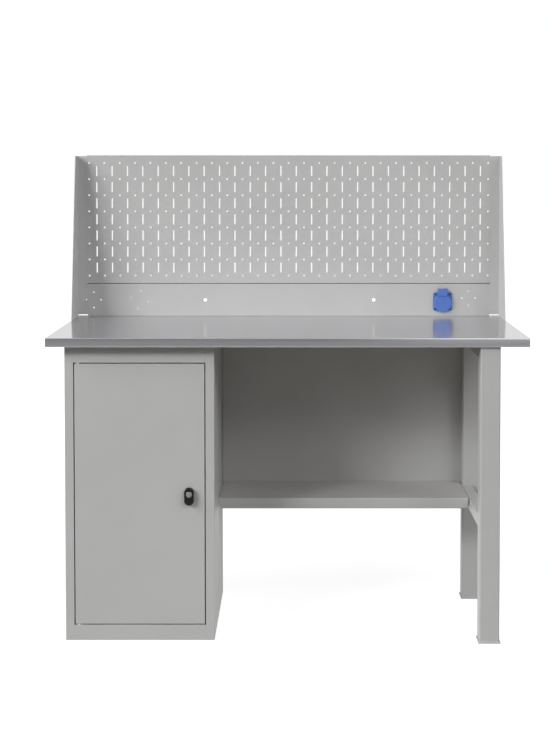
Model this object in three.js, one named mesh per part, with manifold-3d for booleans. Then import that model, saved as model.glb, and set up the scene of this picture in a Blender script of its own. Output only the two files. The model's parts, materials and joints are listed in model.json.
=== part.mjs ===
// A steel workbench: a pedestal cabinet with one hinged door on the left, a leg frame on the right, a
// half-depth lower shelf with a back panel between them, a steel-covered worktop and a perforated backboard
// with a socket.
// Millimetres, +X right, +Y back, +Z up. The origin is on the floor under the middle of the worktop.
import * as THREE from 'three';
import { mergeVertices } from 'three/addons/utils/BufferGeometryUtils.js';
import Module from 'manifold-3d';

const wasm = await Module();
wasm.setup();

// Worktop: a board in a folded steel cover
const WORKTOP_LENGTH = 1379;
const WORKTOP_DEPTH = 686;
const WORKTOP_HEIGHT = 881;
const BOARD_THICKNESS = 22.5;
const COVER_SHEET = 1.5;
const COVER_RETURN = 8;

// Front and rear lines of the cabinet; the back panel ends at the same rear line
const FRONT_OVERHANG = 38;
const SUPPORT_DEPTH = 498;

// Cabinet shell
const CABINET_OVERHANG = 49;
const CABINET_WIDTH = 429.5;
const CABINET_SHEET = 1.5;
const STILE_WIDTH = 25;
const STILE_RETURN = 18;
const RAIL_RETURN = 25;
const HEADER_HEIGHT = 49;
const PLINTH_HEIGHT = 44.5;
const BASE_FLANGE = 40;
const TRAY_LIP = 20;
const SHEET_PLAY = 0.5;

// Cabinet feet
const FOOT_HEIGHT = 1.5;
const FOOT_RADIUS = 16;
const FOOT_INSET = 22;
const FOOT_SETBACK = 70;

// Shelf inside the cabinet and its four clips
const INNER_SHELF_RISE = 400;
const INNER_SHELF_SETBACK = 48;
const INNER_SHELF_PLAY = 1;
const CLIP_SHEET = 2;
const CLIP_DROP = 18;
const CLIP_REACH = 16;
const CLIP_LENGTH = 20;
const CLIP_SETBACK = 40;

// Door and its hinge pins
const DOOR_GAP = 3;
const DOOR_DEPTH = 18;
const HINGE_INSET = 10;
const HINGE_SETBACK = 6;
const PIN_RADIUS = 3.5;
const PIN_REACH = 8;
const PIN_COLLAR_RADIUS = 5.5;
const PIN_PLAY = 0.25;
const STIFFENER_WIDTH = 80;
const STIFFENER_CROWN = 50;
const STIFFENER_DEPTH = 14;
const STIFFENER_END_GAP = 10;

// Door lock: an oval handle that turns a cam, with a key cylinder in it
const LOCK_INSET = 44.5;
const LOCK_HEIGHT = 427.5;
const HANDLE_RADIUS = 14;
const HANDLE_RISE = 5;
const HANDLE_DROP = 18;
const HANDLE_THICKNESS = 12.7;
const BUSH_RADIUS = 10.6;
const BUSH_FLANGE_RADIUS = 13;
const BUSH_FLANGE = 1.5;
const BUSH_LENGTH = 17;
const SPINDLE_RADIUS = 6.6;
const SPINDLE_SQUARE = 7;
const SPINDLE_ROOT = 1;
const SPINDLE_END = 1.5;
const CYLINDER_RADIUS = 8.5;
const CYLINDER_LENGTH = 10;
const CYLINDER_PROUD = 0.5;
const KEY_SLOT_WIDTH = 1.6;
const KEY_SLOT_HEIGHT = 8.5;
const KEY_SLOT_DEPTH = 4;
const NUT_RADIUS = 16;
const NUT_THICKNESS = 6;
const CAM_SETBACK = 4.25;
const CAM_SHEET = 3;
const CAM_LENGTH = 62;
const CAM_WIDTH = 16;
const LOCK_PLAY = 0.3;
const SPINDLE_PLAY = 0.4;

// Leg frame, set further forward than the cabinet
const LEG_OVERHANG = 81.5;
const LEG_FRONT_OVERHANG = 10;
const LEG_SIZE = 57.5;
const TUBE_WALL = 2;
const FOOT_PLATE_OVERHANG = 3;
const FOOT_PLATE_THICKNESS = 5;
const RAIL_HEIGHT = 40;
const RAIL_WIDTH = 30;

// Lower shelf, its end brackets and the back panel
const SHELF_HEIGHT = 365.5;
const SHELF_DEPTH = 257;
const SHELF_SHEET = 1.5;
const SHELF_LIP = 32;
const SHELF_LIP_RETURN = 12;
const SHELF_REAR_LIP = 20;
const SHELF_END_GAP = 5;
const SHELF_BRACKET_SHEET = 2;
const SHELF_BRACKET_LEG = 25;
const SHELF_BRACKET_SETBACK = 16;
const SHELF_BRACKET_LENGTH = 200;
const BACK_PANEL_DEPTH = 16;
const BACK_PANEL_DROP = 27;
const BACK_PANEL_LAP = 20;

// Backboard brackets and their bolts
const BACKBOARD_HEIGHT = 525;
const BACKBOARD_SETBACK = 36;
const BRACKET_SHEET = 2;
const CHEEK_INSET = 0.5;
const CHEEK_TOP_DEPTH = 44;
const CHEEK_FOOT_DEPTH = 150;
const BRACKET_STEP = 2.5;
const BRACKET_FLANGE = 32.5;
const BRACKET_RETURN = 18;
const BRACKET_GAP = 6;
const BRACKET_FOOT_WIDTH = 33;
const BRACKET_FOOT_MARGIN = 3;
const BRACKET_FOOT_LENGTH = 30;
const BRACKET_BOLT_INSET = 17.5;
const BRACKET_BOLT_SETBACK = 18;
const BRACKET_BOLT_RADIUS = 3;
const BRACKET_BOLT_HEAD_RADIUS = 5.5;
const BRACKET_BOLT_HEAD = 5;
const BRACKET_BOLT_BITE = 20;
const BOLT_PLAY = 0.3;

// Backboard panels
const PANEL_SHEET = 1.5;
const PANEL_RETURN = 15;
const PANEL_PLAY = 0.5;
const PANEL_SEAM = 2;
const PANEL_LAP = 12;
const PANEL_LAP_GAP = 0.5;
const PANEL_FLOOR_GAP = 2;
const SOCKET_PANEL_HEIGHT = 104;
const PANEL_BOLT_RADIUS = 2.5;
const PANEL_BOLT_HEAD_RADIUS = 4.5;
const PANEL_BOLT_HEAD = 4;
const PANEL_BOLT_SETBACK = 8;
const PANEL_BOLT_TAIL = 10;
const PANEL_BOLT_END_MARGIN = 54;
const SOCKET_PANEL_BOLT_MARGIN = 20;

// Perforation: round holes with an upright slot in the middle of every four
const PERF_PITCH_X = 50;
const PERF_PITCH_Z = 52.5;
const PERF_SIDE_MARGIN = 5.5;
const PERF_END_MARGIN = 20;
const PERF_DOT_RADIUS = 2.75;
const PERF_DOT_SIDES = 6;
const PERF_SLOT_WIDTH = 3.8;
const PERF_SLOT_HEIGHT = 32.5;

// Holes in the socket panel: cable holes and three sets of four accessory holes
const CABLE_HOLES = [-272.5, 278];
const CABLE_HOLE_RADIUS = 6.2;
const ACCESSORY_HOLE_RADIUS = 2.25;
// Each set: distance from the bench's middle, rise, spread across, spread upwards, turn
const ACCESSORY_SETS = [
  [-637, 0, 24, 25, 0],
  [-488.5, 0, 29, 29, -0.2],
  [588, 5.5, 21.5, 23.5, 0],
];

// Panel socket with a hinged lid
const SOCKET_FROM_RIGHT = 153;
const SOCKET_DROP = 6.5;
const SOCKET_FLANGE = 61;
const SOCKET_FLANGE_CORNER = 7;
const SOCKET_FLANGE_THICKNESS = 5;
const SOCKET_CUP_WALL = 3;
const SOCKET_CUP_DEPTH = 32;
const SOCKET_BORE_RADIUS = 22;
const SOCKET_RECESS = 13;
const SOCKET_INSERT_LENGTH = 17;
const SOCKET_CONTACT_SPACING = 19;
const SOCKET_CONTACT_RADIUS = 2.75;
const SOCKET_CONTACT_FLOOR = 4;
const SOCKET_PLAY = 0.4;
const SOCKET_SCREW_EDGE = 6.5;
const SOCKET_SCREW_RADIUS = 1.5;
const SOCKET_SCREW_HEAD_RADIUS = 2.75;
const SOCKET_SCREW_HEAD = 2.3;
const SOCKET_SCREW_SINK = 0.1;
const SOCKET_SCREW_REACH = 6;
const LID_RADIUS = 29;
const LID_DROP = 4.5;
const LID_THICKNESS = 5;
const LID_GAP = 0.5;
const LID_HINGE_ABOVE = 8;
const LID_TAB_WIDTH = 30;
const LID_TAB_PROUD = 2.5;
const LID_TAB_OVERLAP = 6;
const LID_KNUCKLE_RADIUS = 4.5;
const LUG_WIDTH = 10;
const LUG_ROOT = 2;
const LUG_KNUCKLE_RADIUS = 4;
const LID_PIN_RADIUS = 1.5;
const LID_PIN_PLAY = 0.3;

// Facets of round shapes, and how far a cut runs past the faces that it opens
const ROUND_SIDES = 24;
const SMALL_SIDES = 12;
const HOLE_SIDES = 8;
const HEX_SIDES = 6;
const OVAL_STEPS = 12;
const CORNER_STEPS = 4;
const PAST = 1;

// Finishes: colour, roughness and metalness
const FINISHES = {
  greyCoat: [0xb2b1ae, 0.55, 0.1],
  brushedSteel: [0xa9a9ac, 0.35, 0.9],
  board: [0xa58a66, 0.8, 0],
  zinc: [0xb9bbbd, 0.4, 0.9],
  blackPlastic: [0x26262a, 0.45, 0],
  bluePlastic: [0x3f68c8, 0.4, 0],
  darkScrew: [0x1d2233, 0.4, 0.6],
};

function finish(name) {
  const [color, roughness, metalness] = FINISHES[name];
  return new THREE.MeshStandardMaterial({ color, roughness, metalness });
}

// A closed three.js geometry as a solid that can be joined and cut
function toSolid(geometry) {
  geometry.deleteAttribute('normal');
  geometry.deleteAttribute('uv');
  const merged = mergeVertices(geometry);
  const vertProperties = new Float32Array(merged.attributes.position.array);
  const triVerts = new Uint32Array(merged.index.array);
  return new wasm.Manifold(new wasm.Mesh({ numProp: 3, vertProperties, triVerts }));
}

function toGeometry(solid) {
  const mesh = solid.getMesh();
  const geometry = new THREE.BufferGeometry();
  geometry.setAttribute('position', new THREE.BufferAttribute(new Float32Array(mesh.vertProperties), 3));
  geometry.setIndex(new THREE.BufferAttribute(new Uint32Array(mesh.triVerts), 1));
  geometry.computeVertexNormals();
  return geometry;
}

// Moves every vertex by a rule, so that faces land exactly on the planes they are given
function mapVertices(geometry, rule) {
  const position = geometry.attributes.position;
  for (let i = 0; i < position.count; i += 1) {
    position.setXYZ(i, ...rule(position.getX(i), position.getY(i), position.getZ(i)));
  }
  return geometry;
}

function ordered(a, b) {
  return a < b ? [a, b] : [b, a];
}

// A box between two planes on each axis
function slab(spanX, spanY, spanZ) {
  const side = (span, value) => (value < 0 ? span[0] : span[1]);
  const rule = (x, y, z) => [side(spanX, x), side(spanY, y), side(spanZ, z)];
  return toSolid(mapVertices(new THREE.BoxGeometry(2, 2, 2), rule));
}

// An outline pushed along an axis. Its points are [x, y] along z, [y, z] along x and [z, x] along y.
function prism(axis, outline, span, holes = []) {
  const toVector = ([a, b]) => new THREE.Vector2(a, b);
  const shape = new THREE.Shape(outline.map(toVector));
  shape.holes = holes.map((hole) => new THREE.Path(hole.map(toVector)));
  const geometry = new THREE.ExtrudeGeometry(shape, { depth: 1, bevelEnabled: false });
  const along = (t) => (t < 0.5 ? span[0] : span[1]);
  const rules = {
    x: (a, b, t) => [along(t), a, b],
    y: (a, b, t) => [b, along(t), a],
    z: (a, b, t) => [a, b, along(t)],
  };
  return toSolid(mapVertices(geometry, rules[axis]));
}

// Points of a round outline; the first one lies half a step off the first direction
function ring([a, b], radius, sides) {
  const points = [];
  for (let i = 0; i < sides; i += 1) {
    const angle = ((i + 0.5) * 2 * Math.PI) / sides;
    points.push([a + radius * Math.cos(angle), b + radius * Math.sin(angle)]);
  }
  return points;
}

function rod(axis, centre, radius, span, sides = ROUND_SIDES) {
  return prism(axis, ring(centre, radius, sides), span);
}

function rectangle([a0, a1], [b0, b1]) {
  return [[a0, b0], [a1, b0], [a1, b1], [a0, b1]];
}

// A rectangle with quarter-round corners, centred on the origin
function roundedSquare(size, corner) {
  const shape = new THREE.Shape();
  const half = size / 2;
  const inner = half - corner;
  shape.moveTo(half, -inner);
  shape.absarc(inner, inner, corner, 0, Math.PI / 2);
  shape.absarc(-inner, inner, corner, Math.PI / 2, Math.PI);
  shape.absarc(-inner, -inner, corner, Math.PI, Math.PI * 1.5);
  shape.absarc(inner, -inner, corner, Math.PI * 1.5, Math.PI * 2);
  return shape.getPoints(CORNER_STEPS).map((point) => [point.x, point.y]);
}

// An upright bar with round ends about points above and below the origin, as [z, x] points
function uprightOval(radius, rise, drop, steps) {
  const points = [];
  for (let i = 0; i <= steps; i += 1) {
    const angle = (i * Math.PI) / steps;
    points.push([radius * Math.sin(angle) + rise, radius * Math.cos(angle)]);
  }
  for (let i = 0; i <= steps; i += 1) {
    const angle = Math.PI + (i * Math.PI) / steps;
    points.push([radius * Math.sin(angle) - drop, radius * Math.cos(angle)]);
  }
  return points;
}

// A sheet tray: a box hollowed from one side, with walls of the sheet's thickness
function panTray(spanX, spanY, spanZ, sheet) {
  const inside = ([low, high]) => [low + sheet, high - sheet];
  const hollowY = [spanY[0] + sheet, spanY[1] + sheet];
  return slab(spanX, spanY, spanZ).subtract(slab(inside(spanX), hollowY, inside(spanZ)));
}

// A plate with its front and rear edges folded down
function foldedPlate(spanX, [front, rear], top, sheet, lip) {
  return prism('x', [
    [front, top - lip], [front, top], [rear, top], [rear, top - lip], [rear - sheet, top - lip],
    [rear - sheet, top - sheet], [front + sheet, top - sheet], [front + sheet, top - lip],
  ], spanX);
}

const workbench = new THREE.Group();

function addGroup(parent = workbench, place = [0, 0, 0]) {
  const group = new THREE.Group();
  group.position.set(...place);
  parent.add(group);
  return group;
}

function addPiece(group, name, solid, finishName) {
  const mesh = new THREE.Mesh(toGeometry(solid), finish(finishName));
  mesh.name = name;
  group.add(mesh);
  return mesh;
}

// Lines that several sub-assemblies share
const worktopX = [-WORKTOP_LENGTH / 2, WORKTOP_LENGTH / 2];
const worktopY = [-WORKTOP_DEPTH / 2, WORKTOP_DEPTH / 2];
const boardTop = WORKTOP_HEIGHT - COVER_SHEET;
const boardBottom = boardTop - BOARD_THICKNESS;
const frontY = worktopY[0] + FRONT_OVERHANG;
const rearY = frontY + SUPPORT_DEPTH;
const cabinetX = [worktopX[0] + CABINET_OVERHANG, worktopX[0] + CABINET_OVERHANG + CABINET_WIDTH];
const legX = [worktopX[1] - LEG_OVERHANG - LEG_SIZE, worktopX[1] - LEG_OVERHANG];
const legY = [worktopY[0] + LEG_FRONT_OVERHANG, rearY - BACK_PANEL_DEPTH];
const panelFaceY = worktopY[1] - BACKBOARD_SETBACK;
const cheekX = WORKTOP_LENGTH / 2 - CHEEK_INSET;
const bracketBoltX = cheekX - BRACKET_BOLT_INSET;
const bracketBoltY = panelFaceY - BRACKET_BOLT_SETBACK;

// Holes for the two bracket bolts, cut in everything that they pass through
function boltHoles(solid, spanZ) {
  return [-1, 1].reduce((cut, side) => {
    const place = [side * bracketBoltX, bracketBoltY];
    return cut.subtract(rod('z', place, BRACKET_BOLT_RADIUS + BOLT_PLAY, spanZ, SMALL_SIDES));
  }, solid);
}

function buildWorktop() {
  const group = addGroup();
  const [front, rear] = worktopY;
  const throughTop = [boardBottom - PAST, WORKTOP_HEIGHT + PAST];
  const board = slab(worktopX, [front + COVER_SHEET, rear - COVER_SHEET], [boardBottom, boardTop]);
  addPiece(group, 'worktop_board', boltHoles(board, throughTop), 'board');
  const cover = prism('x', [
    [front, boardBottom - COVER_SHEET], [front, WORKTOP_HEIGHT], [rear, WORKTOP_HEIGHT], [rear, boardBottom],
    [rear - COVER_SHEET, boardBottom], [rear - COVER_SHEET, boardTop], [front + COVER_SHEET, boardTop],
    [front + COVER_SHEET, boardBottom], [front + COVER_RETURN, boardBottom],
    [front + COVER_RETURN, boardBottom - COVER_SHEET],
  ], worktopX);
  addPiece(group, 'worktop_cover', boltHoles(cover, throughTop), 'brushedSteel');
}

// Cabinet lines
const cabinetTop = boardBottom;
const wallTop = cabinetTop - CABINET_SHEET;
const backSheetY = rearY - CABINET_SHEET;
const openingX = [cabinetX[0] + STILE_WIDTH, cabinetX[1] - STILE_WIDTH];
const openingZ = [FOOT_HEIGHT + PLINTH_HEIGHT, wallTop - HEADER_HEIGHT];
const doorX = [openingX[0] + DOOR_GAP, openingX[1] - DOOR_GAP];
const doorZ = [openingZ[0] + DOOR_GAP, openingZ[1] - DOOR_GAP];
const hinge = [doorX[0] + HINGE_INSET, frontY + HINGE_SETBACK];

// A cabinet side with its front stile and base flange folded inwards
function cabinetSide(outerX, inward) {
  const at = (distance) => outerX + inward * distance;
  const wall = prism('z', [
    [at(0), frontY], [at(0), backSheetY], [at(CABINET_SHEET), backSheetY],
    [at(CABINET_SHEET), frontY + CABINET_SHEET], [at(STILE_WIDTH - CABINET_SHEET), frontY + CABINET_SHEET],
    [at(STILE_WIDTH - CABINET_SHEET), frontY + STILE_RETURN], [at(STILE_WIDTH), frontY + STILE_RETURN],
    [at(STILE_WIDTH), frontY],
  ], [FOOT_HEIGHT, wallTop]);
  const base = slab(
    ordered(at(CABINET_SHEET / 2), at(BASE_FLANGE)),
    [frontY + RAIL_RETURN + SHEET_PLAY, backSheetY - CABINET_SHEET / 2],
    [FOOT_HEIGHT, FOOT_HEIGHT + CABINET_SHEET],
  );
  return wall.add(base);
}

// The header or the plinth: a channel between the stiles, open to the back
function frontRail([low, high]) {
  const inner = frontY + CABINET_SHEET;
  const lip = frontY + RAIL_RETURN;
  return prism('x', [
    [frontY, low], [frontY, high], [lip, high], [lip, high - CABINET_SHEET], [inner, high - CABINET_SHEET],
    [inner, low + CABINET_SHEET], [lip, low + CABINET_SHEET], [lip, low],
  ], openingX);
}

function pinHole(span) {
  return rod('z', hinge, PIN_RADIUS + PIN_PLAY, span, SMALL_SIDES);
}

function buildCabinet() {
  const group = addGroup();
  const insideX = [cabinetX[0] + CABINET_SHEET, cabinetX[1] - CABINET_SHEET];
  const insideRear = backSheetY - CABINET_SHEET;
  addPiece(group, 'cabinet_left_side', cabinetSide(cabinetX[0], 1), 'greyCoat');
  addPiece(group, 'cabinet_right_side', cabinetSide(cabinetX[1], -1), 'greyCoat');
  addPiece(group, 'cabinet_back', slab(cabinetX, [backSheetY, rearY], [FOOT_HEIGHT, wallTop]), 'greyCoat');
  addPiece(group, 'cabinet_top', slab(cabinetX, [frontY, rearY], [wallTop, cabinetTop]), 'greyCoat');
  const aroundTop = [openingZ[1] - PAST, openingZ[1] + CABINET_SHEET + PAST];
  const header = frontRail([openingZ[1], wallTop]).subtract(pinHole(aroundTop));
  addPiece(group, 'cabinet_header', header, 'greyCoat');
  const aroundBottom = [openingZ[0] - CABINET_SHEET - PAST, openingZ[0] + PAST];
  const plinth = frontRail([FOOT_HEIGHT, openingZ[0]]).subtract(pinHole(aroundBottom));
  addPiece(group, 'cabinet_plinth', plinth, 'greyCoat');
  const floorFront = frontY + RAIL_RETURN + SHEET_PLAY;
  const floor = foldedPlate(insideX, [floorFront, insideRear], openingZ[0], CABINET_SHEET, TRAY_LIP);
  addPiece(group, 'cabinet_floor', floor, 'greyCoat');

  const shelfX = [insideX[0] + INNER_SHELF_PLAY, insideX[1] - INNER_SHELF_PLAY];
  const shelfY = [frontY + INNER_SHELF_SETBACK, insideRear - INNER_SHELF_PLAY];
  const shelfTop = openingZ[0] + INNER_SHELF_RISE;
  const seat = shelfTop - CABINET_SHEET;
  const shelf = foldedPlate(shelfX, shelfY, shelfTop, CABINET_SHEET, TRAY_LIP);
  addPiece(group, 'cabinet_shelf', shelf, 'greyCoat');
  for (const [sideName, wallX, inward] of [['left', insideX[0], 1], ['right', insideX[1], -1]]) {
    for (const [endName, startY] of [
      ['front', shelfY[0] + CLIP_SETBACK],
      ['rear', shelfY[1] - CLIP_SETBACK - CLIP_LENGTH],
    ]) {
      const legFace = wallX + inward * CLIP_SHEET;
      const tip = wallX + inward * CLIP_REACH;
      const clip = prism('y', [
        [seat - CLIP_DROP, wallX], [seat, wallX], [seat, tip], [seat - CLIP_SHEET, tip],
        [seat - CLIP_SHEET, legFace], [seat - CLIP_DROP, legFace],
      ], [startY, startY + CLIP_LENGTH]);
      addPiece(group, `shelf_clip_${sideName}_${endName}`, clip, 'zinc');
    }
    const outward = wallX - inward * CABINET_SHEET;
    for (const [endName, footY] of [['front', frontY + FOOT_SETBACK], ['rear', rearY - FOOT_SETBACK]]) {
      const foot = addPiece(group, `cabinet_foot_${sideName}_${endName}`,
        rod('z', [0, 0], FOOT_RADIUS, [0, FOOT_HEIGHT], ROUND_SIDES), 'blackPlastic');
      foot.position.set(outward + inward * FOOT_INSET, footY, 0);
    }
  }

  const upperPin = rod('z', hinge, PIN_RADIUS, [doorZ[1] - PIN_REACH, openingZ[1] + PIN_REACH], SMALL_SIDES)
    .add(rod('z', hinge, PIN_COLLAR_RADIUS, [doorZ[1] + PIN_PLAY, openingZ[1]], SMALL_SIDES));
  addPiece(group, 'upper_hinge_pin', upperPin, 'zinc');
  const lowerPin = rod('z', hinge, PIN_RADIUS, [openingZ[0] - PIN_REACH, doorZ[0] + PIN_REACH], SMALL_SIDES)
    .add(rod('z', hinge, PIN_COLLAR_RADIUS, [openingZ[0], doorZ[0] - PIN_PLAY], SMALL_SIDES));
  addPiece(group, 'lower_hinge_pin', lowerPin, 'zinc');
}

function buildDoor() {
  const group = addGroup();
  const lockX = doorX[1] - LOCK_INSET;
  const throughFace = [frontY - PAST, frontY + CABINET_SHEET + PAST];
  const lockHole = rod('y', [LOCK_HEIGHT, lockX], BUSH_RADIUS + LOCK_PLAY, throughFace);
  const pan = panTray(doorX, [frontY, frontY + DOOR_DEPTH], doorZ, CABINET_SHEET)
    .subtract(pinHole([doorZ[0] - PAST, doorZ[0] + CABINET_SHEET + PAST]))
    .subtract(pinHole([doorZ[1] - CABINET_SHEET - PAST, doorZ[1] + PAST]))
    .subtract(lockHole);
  addPiece(group, 'door_panel', pan, 'greyCoat');

  const middle = (doorX[0] + doorX[1]) / 2;
  const wide = STIFFENER_WIDTH / 2;
  const crown = STIFFENER_CROWN / 2;
  const sheet = CABINET_SHEET;
  const base = frontY + sheet;
  const hat = [
    [-wide, 0], [-crown + sheet, 0], [-crown + sheet, STIFFENER_DEPTH - sheet],
    [crown - sheet, STIFFENER_DEPTH - sheet], [crown - sheet, 0], [wide, 0], [wide, sheet], [crown, sheet],
    [crown, STIFFENER_DEPTH], [-crown, STIFFENER_DEPTH], [-crown, sheet], [-wide, sheet],
  ].map(([x, y]) => [middle + x, base + y]);
  const stiffenerZ = [doorZ[0] + sheet + STIFFENER_END_GAP, doorZ[1] - sheet - STIFFENER_END_GAP];
  addPiece(group, 'door_stiffener', prism('z', hat, stiffenerZ), 'greyCoat');

  buildLock(addGroup(group, [lockX, frontY, LOCK_HEIGHT]));
}

// The lock, about its own axis; the door's front face is at y = 0
function buildLock(group) {
  const axis = [0, 0];
  const bush = rod('y', axis, BUSH_FLANGE_RADIUS, [-BUSH_FLANGE, 0])
    .add(rod('y', axis, BUSH_RADIUS, [-BUSH_FLANGE, BUSH_LENGTH]))
    .subtract(rod('y', axis, SPINDLE_RADIUS + SPINDLE_PLAY, [-BUSH_FLANGE - PAST, BUSH_LENGTH + PAST]));
  addPiece(group, 'lock_bush', bush, 'zinc');
  const nutSpan = [CABINET_SHEET, CABINET_SHEET + NUT_THICKNESS];
  const nut = rod('y', axis, NUT_RADIUS, nutSpan, HEX_SIDES)
    .subtract(rod('y', axis, BUSH_RADIUS + LOCK_PLAY, [nutSpan[0] - PAST, nutSpan[1] + PAST]));
  addPiece(group, 'lock_nut', nut, 'zinc');

  const handleBack = -BUSH_FLANGE - LOCK_PLAY;
  const handleFront = handleBack - HANDLE_THICKNESS;
  const cylinderFront = handleFront - CYLINDER_PROUD;
  const cylinderBack = cylinderFront + CYLINDER_LENGTH;
  const camFront = DOOR_DEPTH + CAM_SETBACK;
  const squareSpan = [BUSH_LENGTH + SPINDLE_ROOT, camFront + CAM_SHEET + SPINDLE_END];
  const half = SPINDLE_SQUARE / 2;
  const handleOutline = uprightOval(HANDLE_RADIUS, HANDLE_RISE, HANDLE_DROP, OVAL_STEPS);
  const handle = prism('y', handleOutline, [handleFront, handleBack])
    .add(rod('y', axis, SPINDLE_RADIUS, [handleBack - SPINDLE_ROOT, camFront - LOCK_PLAY]))
    .add(slab([-half, half], squareSpan, [-half, half]))
    .subtract(rod('y', axis, CYLINDER_RADIUS + LOCK_PLAY, [handleFront - PAST, cylinderBack + LOCK_PLAY]));
  addPiece(group, 'lock_handle', handle, 'blackPlastic');

  const slotX = [-KEY_SLOT_WIDTH / 2, KEY_SLOT_WIDTH / 2];
  const slotZ = [-KEY_SLOT_HEIGHT / 2, KEY_SLOT_HEIGHT / 2];
  const cylinder = rod('y', axis, CYLINDER_RADIUS, [cylinderFront, cylinderBack])
    .subtract(slab(slotX, [cylinderFront - PAST, cylinderFront + KEY_SLOT_DEPTH], slotZ));
  addPiece(group, 'lock_cylinder', cylinder, 'zinc');

  const hole = half + LOCK_PLAY;
  const camSpan = [camFront, camFront + CAM_SHEET];
  const cam = slab([-CAM_WIDTH / 2, CAM_WIDTH / 2], camSpan, [-CAM_LENGTH, CAM_WIDTH / 2])
    .subtract(slab([-hole, hole], [camSpan[0] - PAST, camSpan[1] + PAST], [-hole, hole]));
  addPiece(group, 'lock_cam', cam, 'zinc');
}

// A square or rectangular tube with open ends
function tube(axis, spanA, spanB, span) {
  const inside = ([low, high]) => [low + TUBE_WALL, high - TUBE_WALL];
  return prism(axis, rectangle(spanA, spanB), span, [rectangle(inside(spanA), inside(spanB))]);
}

function buildLegFrame() {
  const group = addGroup();
  const legs = [
    ['front', [legY[0], legY[0] + LEG_SIZE]],
    ['rear', [legY[1] - LEG_SIZE, legY[1]]],
  ];
  const grow = ([low, high]) => [low - FOOT_PLATE_OVERHANG, high + FOOT_PLATE_OVERHANG];
  for (const [name, spanY] of legs) {
    addPiece(group, `${name}_leg`, tube('z', legX, spanY, [FOOT_PLATE_THICKNESS, cabinetTop]), 'greyCoat');
    const plate = slab(grow(legX), grow(spanY), [0, FOOT_PLATE_THICKNESS]);
    addPiece(group, `${name}_foot_plate`, plate, 'greyCoat');
  }
  const railX = [legX[0], legX[0] + RAIL_WIDTH];
  const railY = [legY[0] + LEG_SIZE, legY[1] - LEG_SIZE];
  for (const [name, top] of [['upper', cabinetTop], ['lower', SHELF_HEIGHT]]) {
    addPiece(group, `${name}_side_rail`, tube('y', [top - RAIL_HEIGHT, top], railX, railY), 'greyCoat');
  }
}

function buildLowerShelf() {
  const group = addGroup();
  const rear = rearY - BACK_PANEL_DEPTH;
  const front = rear - SHELF_DEPTH;
  const seat = SHELF_HEIGHT - SHELF_SHEET;
  const lipBottom = SHELF_HEIGHT - SHELF_LIP;
  const rearBottom = SHELF_HEIGHT - SHELF_REAR_LIP;
  const shelf = prism('x', [
    [front, lipBottom], [front, SHELF_HEIGHT], [rear, SHELF_HEIGHT], [rear, rearBottom],
    [rear - SHELF_SHEET, rearBottom], [rear - SHELF_SHEET, seat], [front + SHELF_SHEET, seat],
    [front + SHELF_SHEET, lipBottom + SHELF_SHEET], [front + SHELF_LIP_RETURN, lipBottom + SHELF_SHEET],
    [front + SHELF_LIP_RETURN, lipBottom],
  ], [cabinetX[1] + SHELF_END_GAP, legX[0] - SHELF_END_GAP]);
  addPiece(group, 'lower_shelf', shelf, 'greyCoat');

  const bracketY = [front + SHELF_BRACKET_SETBACK, front + SHELF_BRACKET_SETBACK + SHELF_BRACKET_LENGTH];
  for (const [name, wallX, inward] of [['left', cabinetX[1], 1], ['right', legX[0], -1]]) {
    const legFace = wallX + inward * SHELF_BRACKET_SHEET;
    const legEnd = wallX + inward * SHELF_BRACKET_LEG;
    const angle = prism('y', [
      [seat - SHELF_BRACKET_LEG, wallX], [seat, wallX], [seat, legEnd], [seat - SHELF_BRACKET_SHEET, legEnd],
      [seat - SHELF_BRACKET_SHEET, legFace], [seat - SHELF_BRACKET_LEG, legFace],
    ], bracketY);
    addPiece(group, `${name}_shelf_bracket`, angle, 'greyCoat');
  }
  const panelZ = [SHELF_HEIGHT - BACK_PANEL_DROP, cabinetTop];
  const backPanelX = [cabinetX[1], legX[0] + BACK_PANEL_LAP];
  const backPanel = panTray(backPanelX, [rear, rearY], panelZ, SHELF_SHEET);
  addPiece(group, 'back_panel', backPanel, 'greyCoat');
}

// Backboard lines
const panelTop = WORKTOP_HEIGHT + BACKBOARD_HEIGHT;
const bracketTop = panelTop - BRACKET_STEP;
const panelHalf = cheekX - BRACKET_FLANGE - PANEL_PLAY;
const panelX = [-panelHalf, panelHalf];
const panelY = [panelFaceY, panelFaceY + PANEL_RETURN];
const panelBoltY = panelFaceY + PANEL_BOLT_SETBACK;
const panelFoot = WORKTOP_HEIGHT + PANEL_FLOOR_GAP;
const socketPanelZ = [panelFoot, panelFoot + SOCKET_PANEL_HEIGHT];
const perforatedZ = [socketPanelZ[1] + PANEL_SEAM, panelTop];
const panelBoltZ = {
  lower: socketPanelZ[1] - SOCKET_PANEL_BOLT_MARGIN,
  middle: perforatedZ[0] + PANEL_BOLT_END_MARGIN,
  upper: perforatedZ[1] - PANEL_BOLT_END_MARGIN,
};

// Clearance holes for the panel bolts on one side of the backboard
function panelBoltHoles(solid, side) {
  const reach = ordered(side * (panelHalf - PANEL_BOLT_TAIL), side * (panelHalf + PANEL_BOLT_TAIL));
  return Object.values(panelBoltZ).reduce((cut, z) => {
    const hole = rod('x', [panelBoltY, z], PANEL_BOLT_RADIUS + BOLT_PLAY, reach, SMALL_SIDES);
    return cut.subtract(hole);
  }, solid);
}

// The accessory holes, drilled through the panel and, at its end, through a bracket's flange
function accessoryHoles(through) {
  return ACCESSORY_SETS.flatMap(([x, rise, spreadX, spreadZ, turn]) => [0, 1, 2, 3].map((quarter) => {
    const angle = turn + (quarter * Math.PI) / 2;
    const place = [socketPanelMiddle + rise + spreadZ * Math.sin(angle), x + spreadX * Math.cos(angle)];
    return rod('y', place, ACCESSORY_HOLE_RADIUS, through, HEX_SIDES);
  }));
}

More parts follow.
